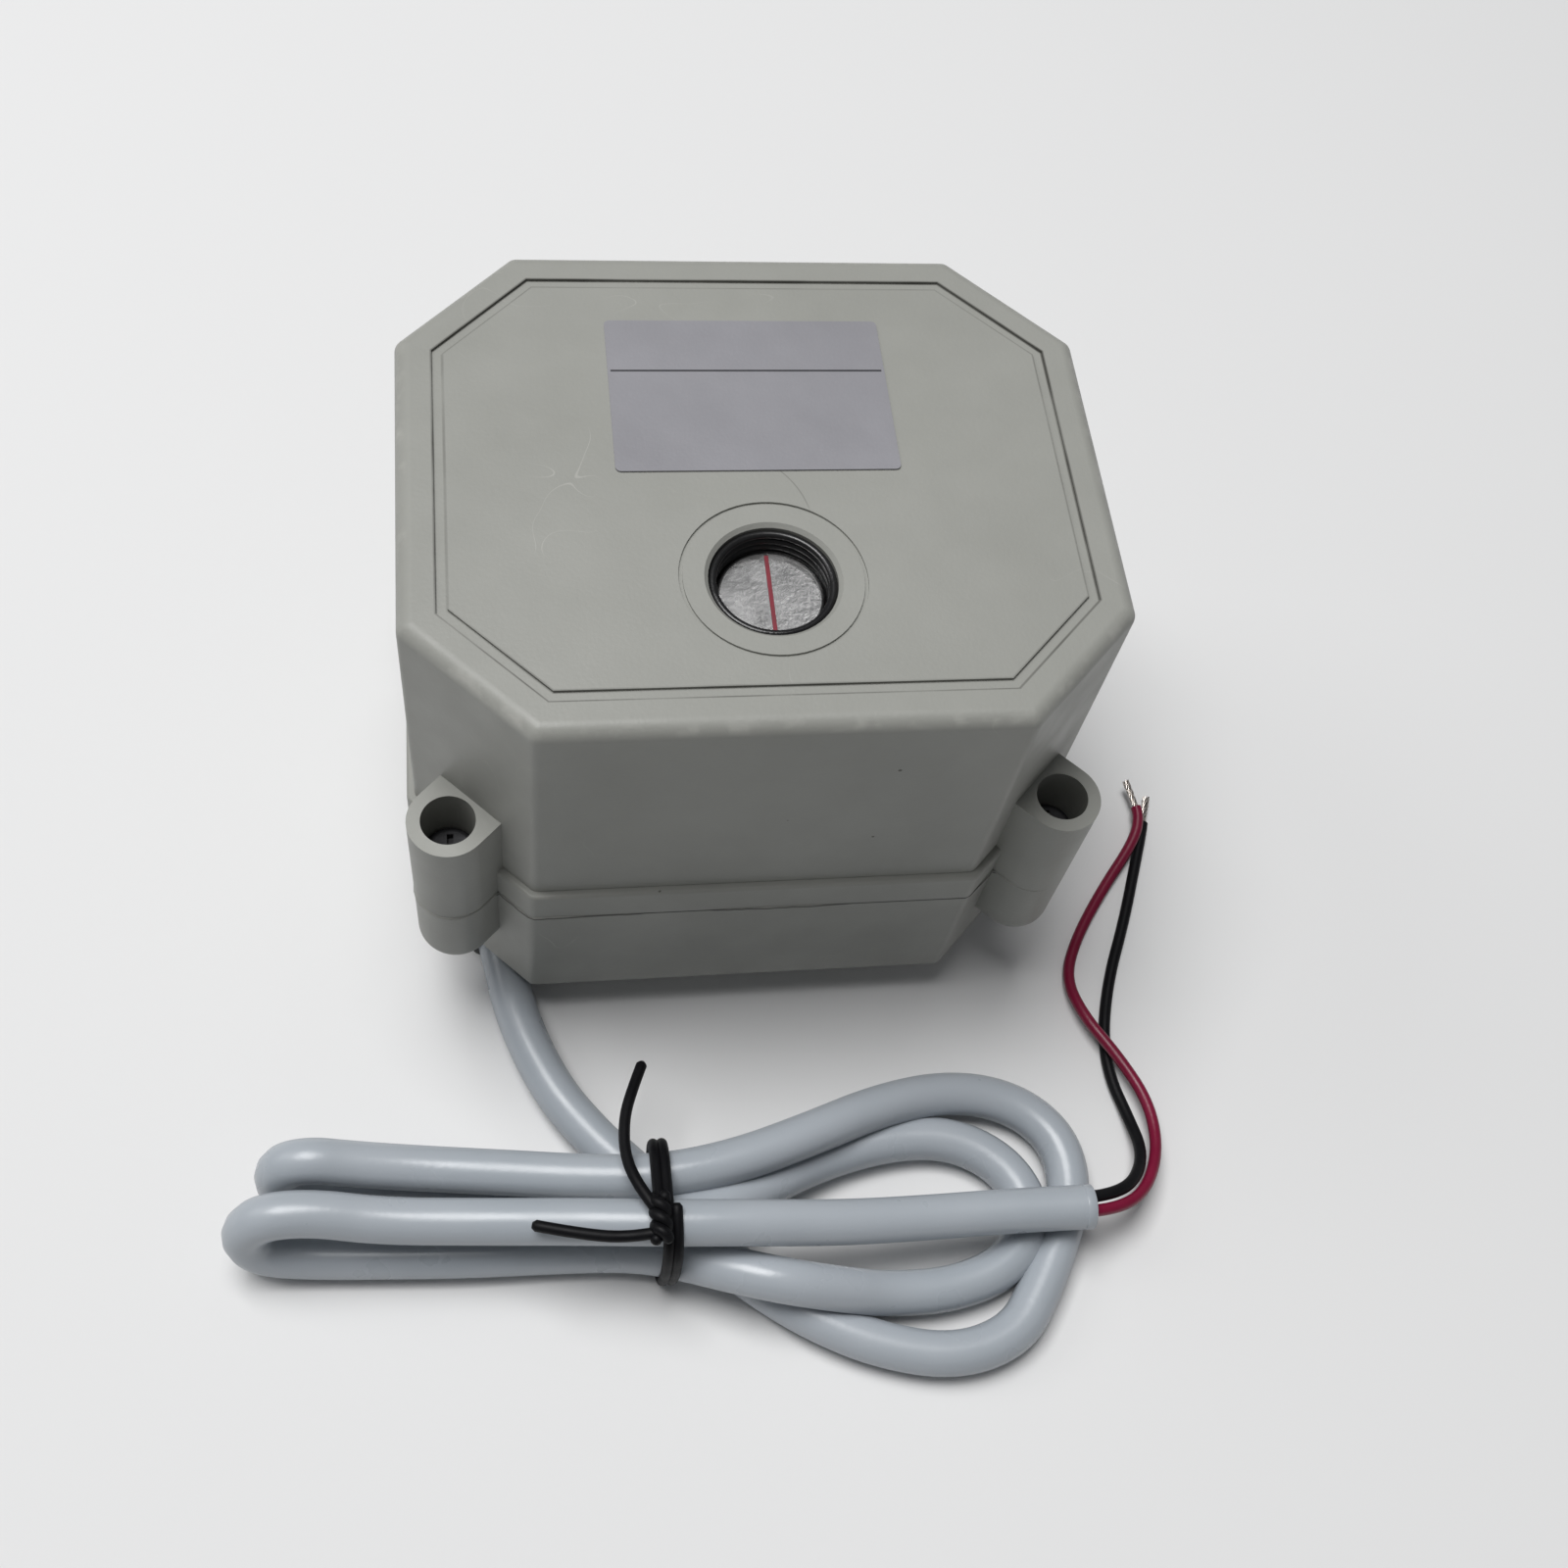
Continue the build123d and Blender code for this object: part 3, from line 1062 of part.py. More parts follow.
def limit_switch(row):
    """Switch body with its two fixing holes and the plunger's bore."""
    low = (SWITCH_X, OUTPUT_Y - SWITCH_LENGTH / 2, switch_z(row))
    high = (SWITCH_TOTAL, OUTPUT_Y + SWITCH_LENGTH / 2, switch_z(row) + SWITCH_WIDTH)
    body = box(low, high)
    body = fillet(body.edges().filter_by(Axis.Z), SWITCH_EDGE_RADIUS)
    body -= seats(SWITCH_SCREW_DIAMETER, low[2], high[2], SWITCH_HOLES)
    bore = PLUNGER_DIAMETER + 2 * RUNNING_FIT
    body -= plunger_rod(row, bore)
    return body - plunger_rod(row, bore, 2 * PLUNGER_TRAVEL)


def switch_terminals():
    """Three solder tabs on the back of each switch."""
    tabs = []
    x = SWITCH_TOTAL + SOLDER_TAB[0] / 2
    for row in range(2):
        z = switch_z(row) + SWITCH_WIDTH / 2
        for side in (-1, 0, 1):
            y = OUTPUT_Y + side * SOLDER_TAB_PITCH
            tabs.append(Pos(x, y, z) * Box(*SOLDER_TAB))
    return tabs


def switch_spacers():
    """Tubes that set the two switches at the height of their cams."""
    bore = SWITCH_SCREW_DIAMETER + 2 * SEAT_FIT
    tubes = []
    for at in SWITCH_HOLES:
        tubes.append(sleeve(SPACER_DIAMETER, bore, DECK_Z, switch_z(0), at))
        tubes.append(sleeve(SPACER_DIAMETER, bore, switch_z(0) + SWITCH_WIDTH, switch_z(1), at))
    return tubes


def switch_screws():
    """Two screws through both switches into the upper plate."""
    seat = switch_z(1) + SWITCH_WIDTH
    head = (SWITCH_SCREW_HEAD, SWITCH_SCREW_HEAD_HEIGHT)
    return [pan_screw(SWITCH_SCREW_DIAMETER, *head, UPPER_PLATE_Z, seat, at) for at in SWITCH_HOLES]


# ---- Circuit board -------------------------------------------------------------------
def circuit_board():
    """Board that slides into the rails on the back wall."""
    half = BOARD_THICKNESS / 2
    low = (-BOARD_WIDTH / 2, BOARD_Y - half, BOARD_Z + BOARD_FOOT_GAP)
    high = (BOARD_WIDTH / 2, BOARD_Y + half, BOARD_TOP_Z - BOARD_HEAD_GAP)
    return box(low, high)


def on_board(size, x, z):
    """A box standing on the front face of the board."""
    return box((x, BOARD_FACE_Y - size[1], z), (x + size[0], BOARD_FACE_Y, z + size[2]))


def relay():
    """Sealed relay that reverses the motor."""
    case = on_board(RELAY_SIZE, RELAY_X, BOARD_Z + RELAY_LIFT)
    return fillet(case.edges().filter_by(Axis.Y), FOOT_EDGE_RADIUS)


def capacitors():
    """Two storage capacitors lying on the board."""
    radius = CAPACITOR_DIAMETER / 2
    cans = []
    for lift in CAPACITOR_LIFTS:
        centre = Pos(BOARD_PART_X - radius, BOARD_FACE_Y - CAPACITOR_LENGTH / 2, BOARD_Z + lift)
        can = centre * Rot(90, 0, 0) * Cylinder(radius, CAPACITOR_LENGTH)
        cans.append(fillet(can.edges().sort_by(Axis.Y)[0], FOOT_EDGE_RADIUS))
    return cans


def terminal_block():
    """Two-way block where the cable's wires are clamped."""
    x = BOARD_PART_X - TERMINAL_SIZE[0]
    body = on_board(TERMINAL_SIZE, x, BOARD_Z + TERMINAL_LIFT)
    y = BOARD_FACE_Y - TERMINAL_SIZE[1] + TERMINAL_MOUTH[1] / 2
    z = BOARD_Z + TERMINAL_MOUTH_LIFT + TERMINAL_MOUTH[2] / 2
    for share in (0.25, 0.75):
        body -= Pos(x + TERMINAL_SIZE[0] * share, y, z) * Box(*TERMINAL_MOUTH)
    return body


# ---- Cable ---------------------------------------------------------------------------
def exit_cylinder(diameter, inside, outside):
    """A level cylinder along the cable's way out of the pedestal."""
    length = inside + outside
    lying = Pos((outside - inside) / 2, 0, 0) * Rot(0, 90, 0) * Cylinder(diameter / 2, length)
    return Pos(*EXIT_POINT) * Rot(0, 0, EXIT_HEADING) * lying


def cable_grommet():
    """Rubber sleeve in the pedestal's notch, where the cable leaves."""
    sleeve_body = exit_cylinder(GROMMET_DIAMETER, GROMMET_INSIDE - 0.2, GROMMET_OUTSIDE)
    return sleeve_body - exit_cylinder(CABLE_DIAMETER + 2 * SEAT_FIT, GROMMET_INSIDE, GROMMET_OUTSIDE)


def route_radii(points):
    """The arc radius at each corner, as large as the corner's two runs allow."""
    radii = []
    for before, here, after in zip(points, points[1:], points[2:]):
        incoming = Vector(*here) - Vector(*before)
        outgoing = Vector(*after) - Vector(*here)
        half_turn = math.radians(incoming.get_angle(outgoing)) / 2
        radii.append(0.45 * min(incoming.length, outgoing.length) / math.tan(half_turn))
    return radii


def cord(name, points, diameter):
    """A round cord along straight runs joined by tangent arcs."""
    radii = route_radii(points)
    path = FilletPolyline(*points, radius=radii)
    section = Plane(origin=points[0], z_dir=path % 0) * Circle(diameter / 2)
    solid = sweep(section, path=path)
    expected = math.pi * diameter**2 / 4 * path.length
    print(name, "radii", [round(radius, 1) for radius in radii])
    print(name, "length", round(path.length, 1), "volume ratio", round(solid.volume / expected, 4))
    return Pos(*CABLE_SHIFT) * solid


def side_profile(front, back, outline):
    """A side outline, in X and Z, carried from a front to a back Y."""
    face = Plane.XZ.offset(-back) * Polygon(*outline, align=None)
    return extrude(face, amount=back - front)


def across_neck(left, right, growth):
    """A rounded block round the hank's neck, from one X to another."""
    middle_y = (NECK_FRONT_Y + NECK_BACK_Y) / 2
    middle_z = (NECK_FOOT_Z + NECK_TOP_Z) / 2
    width = NECK_BACK_Y - NECK_FRONT_Y + 2 * growth
    height = NECK_TOP_Z - NECK_FOOT_Z + 2 * growth
    plane = Plane(origin=(left, middle_y, middle_z), x_dir=(0, 1, 0), z_dir=(1, 0, 0))
    return extrude(plane * RectangleRounded(width, height, NECK_RADIUS + growth), amount=right - left)


def cable_hank():
    """Outer shape of the folded hank: two ears on the left, a neck and a fan of loops."""
    fan = make_face(Spline(*FAN_OUTLINE, periodic=True))
    solid = prism(fan, GROUND_GAP, FAN_TOP_Z) + across_neck(NECK_LEFT_X, NECK_RIGHT_X, 0.0)
    for front, back, outline in HANK_PROFILES:
        bar = side_profile(front, back, outline)
        solid += fillet(bar.edges().filter_by(Axis.Y), STRAND_EDGE_RADIUS)
    return Pos(*CABLE_SHIFT) * solid


def twist_tie():
    """Plastic-covered wire tied round the hank's neck, with a twist and two tails."""
    left = TIE_X - TIE_WIDTH / 2
    right = TIE_X + TIE_WIDTH / 2
    band = across_neck(left, right, TIE_FIT + TIE_THICKNESS) - across_neck(left, right, TIE_FIT)
    knot_z = NECK_TOP_Z + TIE_THICKNESS + KNOT_DIAMETER / 4
    knot = Rot(90, 0, 0) * Cylinder(KNOT_DIAMETER / 2, KNOT_LENGTH)
    knot = Pos(TIE_X, KNOT_Y, knot_z) * knot
    knot -= across_neck(left - TIE_WIDTH, right + TIE_WIDTH, TIE_FIT)
    tails = [cord("tie tail", route, TAIL_DIAMETER) for route in TAIL_ROUTES]
    return Pos(*CABLE_SHIFT) * (band + knot) + tails


def wire_core(route):
    """Bare tinned end that carries on straight past a wire's sheath."""
    end = Vector(*route[-1])
    heading = (end - Vector(*route[-2])).normalized()
    section = Plane(origin=end, z_dir=heading) * Circle(CORE_DIAMETER / 2)
    return Pos(*CABLE_SHIFT) * extrude(section, amount=CORE_LENGTH)


# ---- Every sub-part, one STEP file each ----------------------------------------------
SUBPARTS = {
    "upper_casing": upper_casing,
    "base_housing": base_housing,
    "casing_gasket": casing_gasket,
    "casing_screws": casing_screws,
    "nameplate": nameplate,
    "mounting_inserts": mounting_inserts,
    "output_shaft": output_shaft,
    "position_mark": position_mark,
    "gear_drive_pin": lambda: drive_pin_rod(PIN_DIAMETER),
    "upper_bush": upper_bush,
    "window_seals": window_seals,
    "lower_bush": lower_bush,
    "base_seal": base_seal,
    "thrust_washer": thrust_washer,
    "retaining_clip": retaining_clip,
    "output_gear": output_gear,
    "second_gear": second_gear,
    "first_gear": first_gear,
    "second_arbor": lambda: arbor(SECOND_AXIS),
    "first_arbor": lambda: arbor(FIRST_AXIS),
    "lower_gear_plate": lower_gear_plate,
    "upper_gear_plate": upper_gear_plate,
    "plate_pillars": plate_pillars,
    "plate_screws": plate_screws,
    "motor_can": motor_can,
    "motor_magnets": motor_magnets,
    "motor_armature": motor_armature,
    "motor_pinion": motor_pinion,
    "motor_end_cap": motor_end_cap,
    "motor_terminals": motor_terminals,
    "motor_screws": motor_screws,
    "lower_cam": lambda: cam(0),
    "upper_cam": lambda: cam(1),
    "cam_set_screws": cam_set_screws,
    "lower_limit_switch": lambda: limit_switch(0),
    "upper_limit_switch": lambda: limit_switch(1),
    "lower_switch_plunger": lambda: switch_plunger(0),
    "upper_switch_plunger": lambda: switch_plunger(1),
    "switch_terminals": switch_terminals,
    "switch_spacers": switch_spacers,
    "switch_screws": switch_screws,
    "circuit_board": circuit_board,
    "relay": relay,
    "capacitors": capacitors,
    "terminal_block": terminal_block,
    "cable_grommet": cable_grommet,
    "cable_lead": lambda: cord("cable lead", CABLE_ROUTE, CABLE_DIAMETER),
    "cable_hank": cable_hank,
    "twist_tie": twist_tie,
    "red_wire": lambda: cord("red wire", RED_ROUTE, WIRE_DIAMETER),
    "black_wire": lambda: cord("black wire", BLACK_ROUTE, WIRE_DIAMETER),
    "red_wire_core": lambda: wire_core(RED_ROUTE),
    "black_wire_core": lambda: wire_core(BLACK_ROUTE),
}


def main():
    """Builds every sub-part and writes its STEP file."""
    os.makedirs("parts", exist_ok=True)
    for name, build in SUBPARTS.items():
        made = build()
        pieces = made if isinstance(made, list) else [made]
        solids = [solid for piece in pieces for solid in piece.solids()]
        shape = solids[0] if len(solids) == 1 else Compound(children=solids)
        export_step(shape, f"parts/{name}.step")
        print(name, len(solids))


if __name__ == "__main__":
    main()
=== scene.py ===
"""Looks of a motorized valve actuator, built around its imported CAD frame.

The CAD frame has its origin in the middle of the underside, with +Z up and +Y to the back.
Values are metres, apart from routes, outlines, the tie's places and the casing trim, which
are millimetres until metres() or MM turns them.
"""
import json
import logging
import math
from dataclasses import dataclass, field
from enum import Enum

import bmesh
import bpy
from mathutils import Matrix, Vector


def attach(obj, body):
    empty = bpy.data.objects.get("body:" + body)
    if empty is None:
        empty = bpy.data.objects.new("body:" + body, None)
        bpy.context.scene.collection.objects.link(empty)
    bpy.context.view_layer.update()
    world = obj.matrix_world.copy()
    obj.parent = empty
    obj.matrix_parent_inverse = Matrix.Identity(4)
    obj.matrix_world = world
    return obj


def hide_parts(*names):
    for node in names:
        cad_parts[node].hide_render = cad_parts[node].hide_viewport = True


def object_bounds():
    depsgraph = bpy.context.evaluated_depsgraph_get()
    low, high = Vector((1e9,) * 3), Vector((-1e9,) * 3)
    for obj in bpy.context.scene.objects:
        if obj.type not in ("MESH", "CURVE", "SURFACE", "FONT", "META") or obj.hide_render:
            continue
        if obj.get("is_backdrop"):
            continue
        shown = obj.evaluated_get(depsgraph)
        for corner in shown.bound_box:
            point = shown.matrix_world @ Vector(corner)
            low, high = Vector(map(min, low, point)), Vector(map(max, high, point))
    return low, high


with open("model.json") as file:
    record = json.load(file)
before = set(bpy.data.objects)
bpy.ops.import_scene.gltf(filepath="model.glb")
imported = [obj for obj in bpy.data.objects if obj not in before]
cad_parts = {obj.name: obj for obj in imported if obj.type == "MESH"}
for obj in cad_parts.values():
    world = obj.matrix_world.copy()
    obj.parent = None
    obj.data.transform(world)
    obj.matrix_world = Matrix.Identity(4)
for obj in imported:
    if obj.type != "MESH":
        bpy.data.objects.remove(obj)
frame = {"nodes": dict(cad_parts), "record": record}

LOG = logging.getLogger("valve_actuator")
MM = 0.001
FULL_TURN = 2 * math.pi
LINE_STEPS = 10            # segments between two control points of a curve
ROUND_STEPS = 5            # steps of a cord's round section
SWEEP_SIDES = 8            # sides of a strand or a ridge of flash
LINE_ORDER = 3
MERGE_DISTANCE = 1e-7
Point = tuple[float, float, float]
Span = tuple[float, float]
Colour = tuple[float, float, float]
Socket = bpy.types.NodeSocket


def metres(points: list[Point]) -> list[Vector]:
    """Turns points in millimetres into vectors in metres."""
    return [Vector(point) * MM for point in points]


# ---- Node trees ----------------------------------------------------------------------
class NodeSheet:
    """Adds and joins the nodes of one tree."""

    def __init__(self, tree: bpy.types.NodeTree) -> None:
        """Starts from an empty tree.

        Args:
            tree: The node tree to fill.
        """
        self.tree = tree
        self.tree.nodes.clear()

    def add(self, kind: str, inputs: dict | None = None, **settings: object) -> bpy.types.Node:
        """Adds a node.

        Args:
            kind: The node's type.
            inputs: Values or sockets, by input name or number.
            **settings: Properties of the node itself.

        Returns:
            The new node.
        """
        node = self.tree.nodes.new(kind)
        for name, value in settings.items():
            setattr(node, name, value)
        for name, value in (inputs or {}).items():
            if isinstance(value, Socket):
                self.tree.links.new(value, node.inputs[name])
            else:
                node.inputs[name].default_value = value
        return node

    def math(self, operation: str, first: object, second: object = 0.0) -> Socket:
        """Joins two values with a maths operation and returns the result's socket."""
        return self.add("ShaderNodeMath", {0: first, 1: second}, operation=operation).outputs[0]

    def remap(self, value: object, low: float, high: float, to: Span = (0.0, 1.0)) -> Socket:
        """Turns a range of a value into another range, clamped, and returns the socket."""
        inputs = {"Value": value, "From Min": low, "From Max": high, "To Min": to[0], "To Max": to[1]}
        return self.add("ShaderNodeMapRange", inputs).outputs["Result"]

    def mix(self, share: object, first: object, second: object) -> Socket:
        """Mixes two colours by a share and returns the socket."""
        node = self.add("ShaderNodeMix", data_type="RGBA")
        for number, value in ((0, share), (6, first), (7, second)):
            if isinstance(value, Socket):
                self.tree.links.new(value, node.inputs[number])
            else:
                node.inputs[number].default_value = (*value, 1.0) if number else value
        return node.outputs[2]

    def noise(
        self, place: object, scale: object, detail: float = 3.0, distortion: float = 0.0
    ) -> Socket:
        """A noise of a scale per metre, as a socket from 0 to 1."""
        inputs = {"Vector": place, "Scale": scale, "Detail": detail, "Distortion": distortion}
        return self.add("ShaderNodeTexNoise", inputs).outputs[0]


# ---- Finishes ------------------------------------------------------------------------
class Grain(Enum):
    """Which way the fine marks of a surface run."""

    EVEN = (1.0, 1.0, 1.0)
    BRUSHED_X = (0.03, 1.0, 1.0)
    TURNED_Z = (1.0, 1.0, 0.05)
    DRAWN_Z = (1.0, 1.0, 0.02)


@dataclass(frozen=True)
class Finish:
    """A surface with a colour that drifts, a fine grain and an uneven gloss."""

    slot: str
    colour: Colour
    drift: Colour
    roughness: float
    gloss_swing: float = 0.12
    metallic: float = 0.0
    drift_scale: float = 90.0
    grain: Grain = Grain.EVEN
    grain_scale: float = 2600.0
    grain_height: float = 0.00002
    wave_scale: float = 140.0
    wave_height: float = 0.00004
    specular: float = 0.5
    coat: float = 0.0
    noise_middle: Span = (0.3, 0.7)     # the part of a noise's range that is used
    gloss_scale: float = 2.3            # gloss patches for one patch of colour
    least_roughness: float = 0.02

    def colour_of(self, sheet: NodeSheet, place: Socket) -> Socket:
        """The drifting base colour."""
        share = sheet.remap(sheet.noise(place, self.drift_scale, 5.0), *self.noise_middle)
        return sheet.mix(share, self.colour, self.drift)

    def gloss_of(self, sheet: NodeSheet, place: Socket) -> Socket:
        """The uneven roughness."""
        low = max(self.least_roughness, self.roughness - self.gloss_swing / 2)
        span = (low, low + self.gloss_swing)
        patches = sheet.noise(place, self.drift_scale * self.gloss_scale, 4.0)
        return sheet.remap(patches, *self.noise_middle, span)

    def relief_of(self, sheet: NodeSheet, place: Socket) -> Socket:
        """Bump: a fine grain on a long shallow wave."""
        inputs = {"Vector": place, "Scale": self.grain.value}
        directed = sheet.add("ShaderNodeMapping", inputs).outputs[0]
        wave = sheet.noise(place, self.wave_scale, 2.0)
        fine = sheet.noise(directed, self.grain_scale, 2.0)
        inputs = {"Height": wave, "Distance": self.wave_height, "Strength": 1.0}
        low = sheet.add("ShaderNodeBump", inputs).outputs[0]
        inputs = {"Height": fine, "Distance": self.grain_height, "Strength": 1.0, "Normal": low}
        return sheet.add("ShaderNodeBump", inputs).outputs[0]

    def make(self) -> bpy.types.Material:
        """Builds the finish.

        Returns:
            A node material named after the finish's slot.
        """
        material = bpy.data.materials.new(self.slot)
        material.use_nodes = True
        sheet = NodeSheet(material.node_tree)
        place = sheet.add("ShaderNodeTexCoord").outputs["Object"]
        shader = sheet.add(
            "ShaderNodeBsdfPrincipled",
            {
                "Base Color": self.colour_of(sheet, place),
                "Roughness": self.gloss_of(sheet, place),
                "Normal": self.relief_of(sheet, place),
                "Metallic": self.metallic,
                "Specular IOR Level": self.specular,
                "Coat Weight": self.coat,
            },
        )
        sheet.add("ShaderNodeOutputMaterial", {"Surface": shader.outputs[0]})
        material.diffuse_color = (*self.colour, 1.0)
        return material


@dataclass(frozen=True)
class CasingPlastic(Finish):
    """Moulded casing: satin plastic with specks, scratches, painted shade in its panel line and top
    edges lightened as wear and painted highlight.

    Spans are where a mark starts and where it is full, in metres or in shares of a noise.
    """

    half_x: float = 0.0360
    half_y: float = 0.03005
    corner_reach: float = 0.05385
    top_z: float = 0.0610
    seam_z: float = 0.0247
    seam_half: float = 0.00012
    line_inset: float = 0.00374
    line_width: float = 0.0011
    line_half: float = 0.00013
    edge_band: float = 0.0013
    speck: Colour = (0.07, 0.065, 0.055)
    pale: Colour = (0.50, 0.49, 0.46)
    # Colour of the hairline and of the painted shade in the panel-line groove.
    hairline_and_groove_shade: Colour = (0.07, 0.068, 0.06)
    band_fade: Span = (1.5, 0.6)
    scratch_scale: float = 45.0
    scratch_bend: float = 1.6
    scratch_width: Span = (0.0012, 0.0005)
    scratch_patch_scale: float = 70.0
    scratch_patch: Span = (0.6, 0.68)
    scratch_share: float = 0.3
    hair_centre: Point = (-5.5, -6.5, 61.0)     # millimetres
    hair_radius: float = 0.0101
    hair_half: float = 0.00006
    hair_from_x: Span = (0.0010, 0.0022)
    hair_from_y: Span = (-0.0052, -0.0038)
    hair_share: float = 0.4
    speck_scale: float = 190.0
    speck_size: Span = (0.045, 0.03)
    speck_patch_scale: float = 260.0
    speck_patch: Span = (0.56, 0.59)
    top_fade: Span = (0.0006, 0.0004)
    # Patchy painted shade along the panel-line groove and its inner edge.
    groove_shade_scale: float = 120.0
    groove_shade_patch: Span = (0.35, 0.65)
    groove_shade_share: Span = (0.35, 0.85)
    inner_line_share: float = 0.55
    rim_fade: float = 0.3
    top_edge_fade: float = 0.4
    # Patches where the top edges are lightened, as wear and painted highlight.
    rub_and_highlight_scale: float = 420.0
    rub_and_highlight_patch: Span = (0.5, 0.66)
    rub_and_highlight_share: Span = (0.04, 0.32)
    seam_reach: Span = (0.0016, 0.0012)
    seam_share: float = 0.85
    seam_colour: Colour = (0.03, 0.03, 0.028)

    def outside(self, sheet: NodeSheet, parts: bpy.types.Node) -> Socket:
        """How far outside the casing's eight walls a point lies, in metres."""
        across = sheet.math("ABSOLUTE", parts.outputs["X"])
        along = sheet.math("ABSOLUTE", parts.outputs["Y"])
        to_x = sheet.math("SUBTRACT", across, self.half_x)
        to_y = sheet.math("SUBTRACT", along, self.half_y)
        slant = sheet.math("MULTIPLY", sheet.math("ADD", across, along), math.sqrt(0.5))
        to_corner = sheet.math("SUBTRACT", slant, self.corner_reach * math.sqrt(0.5))
        return sheet.math("MAXIMUM", sheet.math("MAXIMUM", to_x, to_y), to_corner)

    def band(self, sheet: NodeSheet, value: object, middle: float, half: float) -> Socket:
        """1 where a value lies near a middle, fading to 0 outside it."""
        away = sheet.math("ABSOLUTE", sheet.math("SUBTRACT", value, middle))
        start, full = self.band_fade
        return sheet.remap(away, half * start, half * full)

    def scratches(self, sheet: NodeSheet, place: Socket, base: Socket) -> Socket:
        """Faint pale scratches in patches."""
        bent = sheet.noise(place, self.scratch_scale, 1.0, self.scratch_bend)
        line = sheet.math("ABSOLUTE", sheet.math("SUBTRACT", bent, 0.5))
        patches = sheet.noise(place, self.scratch_patch_scale, 1.0)
        where = sheet.remap(patches, *self.scratch_patch)
        faint = sheet.math("MULTIPLY", sheet.remap(line, *self.scratch_width), where)
        return sheet.mix(sheet.math("MULTIPLY", faint, self.scratch_share), base, self.pale)

    def hairline(self, sheet: NodeSheet, place: Socket, base: Socket) -> Socket:
        """One long curved hairline by the window."""
        centre = Vector(self.hair_centre) * MM
        apart = sheet.add("ShaderNodeVectorMath", {0: place, 1: centre}, operation="DISTANCE")
        parts = sheet.add("ShaderNodeSeparateXYZ", {0: place})
        hair = self.band(sheet, apart.outputs["Value"], self.hair_radius, self.hair_half)
        hair = sheet.math("MULTIPLY", hair, sheet.remap(parts.outputs["X"], *self.hair_from_x))
        hair = sheet.math("MULTIPLY", hair, sheet.remap(parts.outputs["Y"], *self.hair_from_y))
        return sheet.mix(sheet.math("MULTIPLY", hair, self.hair_share), base, self.hairline_and_groove_shade)

    def specks(self, sheet: NodeSheet, place: Socket, base: Socket) -> Socket:
        """Rare dark specks."""
        cells = sheet.add("ShaderNodeTexVoronoi", {"Vector": place, "Scale": self.speck_scale})
        dots = sheet.remap(cells.outputs["Distance"], *self.speck_size)
        rare = sheet.remap(sheet.noise(place, self.speck_patch_scale, 1.0), *self.speck_patch)
        return sheet.mix(sheet.math("MULTIPLY", dots, rare), base, self.speck)

    def colour_of(self, sheet: NodeSheet, place: Socket) -> Socket:
        """Drifting grey with marks, top edges lightened as wear and painted highlight, painted shade
        in the panel line, and a dark seam line.
        """
        base = Finish.colour_of(self, sheet, place)
        for mark in (self.scratches, self.hairline, self.specks):
            base = mark(sheet, place, base)
        parts = sheet.add("ShaderNodeSeparateXYZ", {0: place})
        height = parts.outputs["Z"]
        out = self.outside(sheet, parts)
        low, high = self.top_fade
        on_top = sheet.remap(height, self.top_z - low, self.top_z - high)
        # Painted shade: the panel-line groove and its inner edge are darkened, in patches, on the top
        # face only.
        patches = sheet.noise(place, self.groove_shade_scale, 3.0)
        patchy = sheet.remap(patches, *self.groove_shade_patch, self.groove_shade_share)
        line = self.band(sheet, out, -self.line_inset, self.line_half)
        inner = self.band(sheet, out, -self.line_inset - self.line_width, self.line_half)
        line = sheet.math("ADD", line, sheet.math("MULTIPLY", inner, self.inner_line_share))
        line = sheet.math("MULTIPLY", sheet.math("MULTIPLY", line, on_top), patchy)
        base = sheet.mix(line, base, self.hairline_and_groove_shade)
        # Wear and painted highlight: the rims of the top face are lightened in rubbed patches.
        near_rim = sheet.remap(out, -self.edge_band, -self.edge_band * self.rim_fade)
        low, high = self.edge_band, self.edge_band * self.top_edge_fade
        near_top = sheet.remap(height, self.top_z - low, self.top_z - high)
        patches = sheet.noise(place, self.rub_and_highlight_scale, 4.0)
        rub_and_highlight = sheet.remap(patches, *self.rub_and_highlight_patch, self.rub_and_highlight_share)
        edge = sheet.math("MULTIPLY", sheet.math("MULTIPLY", near_rim, near_top), rub_and_highlight)
        base = sheet.mix(edge, base, self.pale)
        seam = self.band(sheet, height, self.seam_z, self.seam_half)
        on_wall = sheet.remap(out, *self.seam_reach)
        seam = sheet.math("MULTIPLY", sheet.math("MULTIPLY", seam, on_wall), self.seam_share)
        return sheet.mix(seam, base, self.seam_colour)


@dataclass(frozen=True)
class LabelFoil(Finish):
    """Blank silvery label with one printed rule across its upper third."""

    rule_y: float = 0.01335
    rule_half: float = 0.00011
    rule_fade: float = 1.3
    rule_colour: Colour = (0.035, 0.035, 0.04)
    ends: Span = (-0.0142, 0.0142)

    def colour_of(self, sheet: NodeSheet, place: Socket) -> Socket:
        """Foil colour with a thin dark rule."""
        base = Finish.colour_of(self, sheet, place)
        parts = sheet.add("ShaderNodeSeparateXYZ", {0: place})
        away = sheet.math("ABSOLUTE", sheet.math("SUBTRACT", parts.outputs["Y"], self.rule_y))
        across = sheet.remap(away, self.rule_half * self.rule_fade, self.rule_half)
        left = sheet.math("GREATER_THAN", parts.outputs["X"], self.ends[0])
        right = sheet.math("LESS_THAN", parts.outputs["X"], self.ends[1])
        rule = sheet.math("MULTIPLY", across, sheet.math("MULTIPLY", left, right))
        return sheet.mix(rule, base, self.rule_colour)


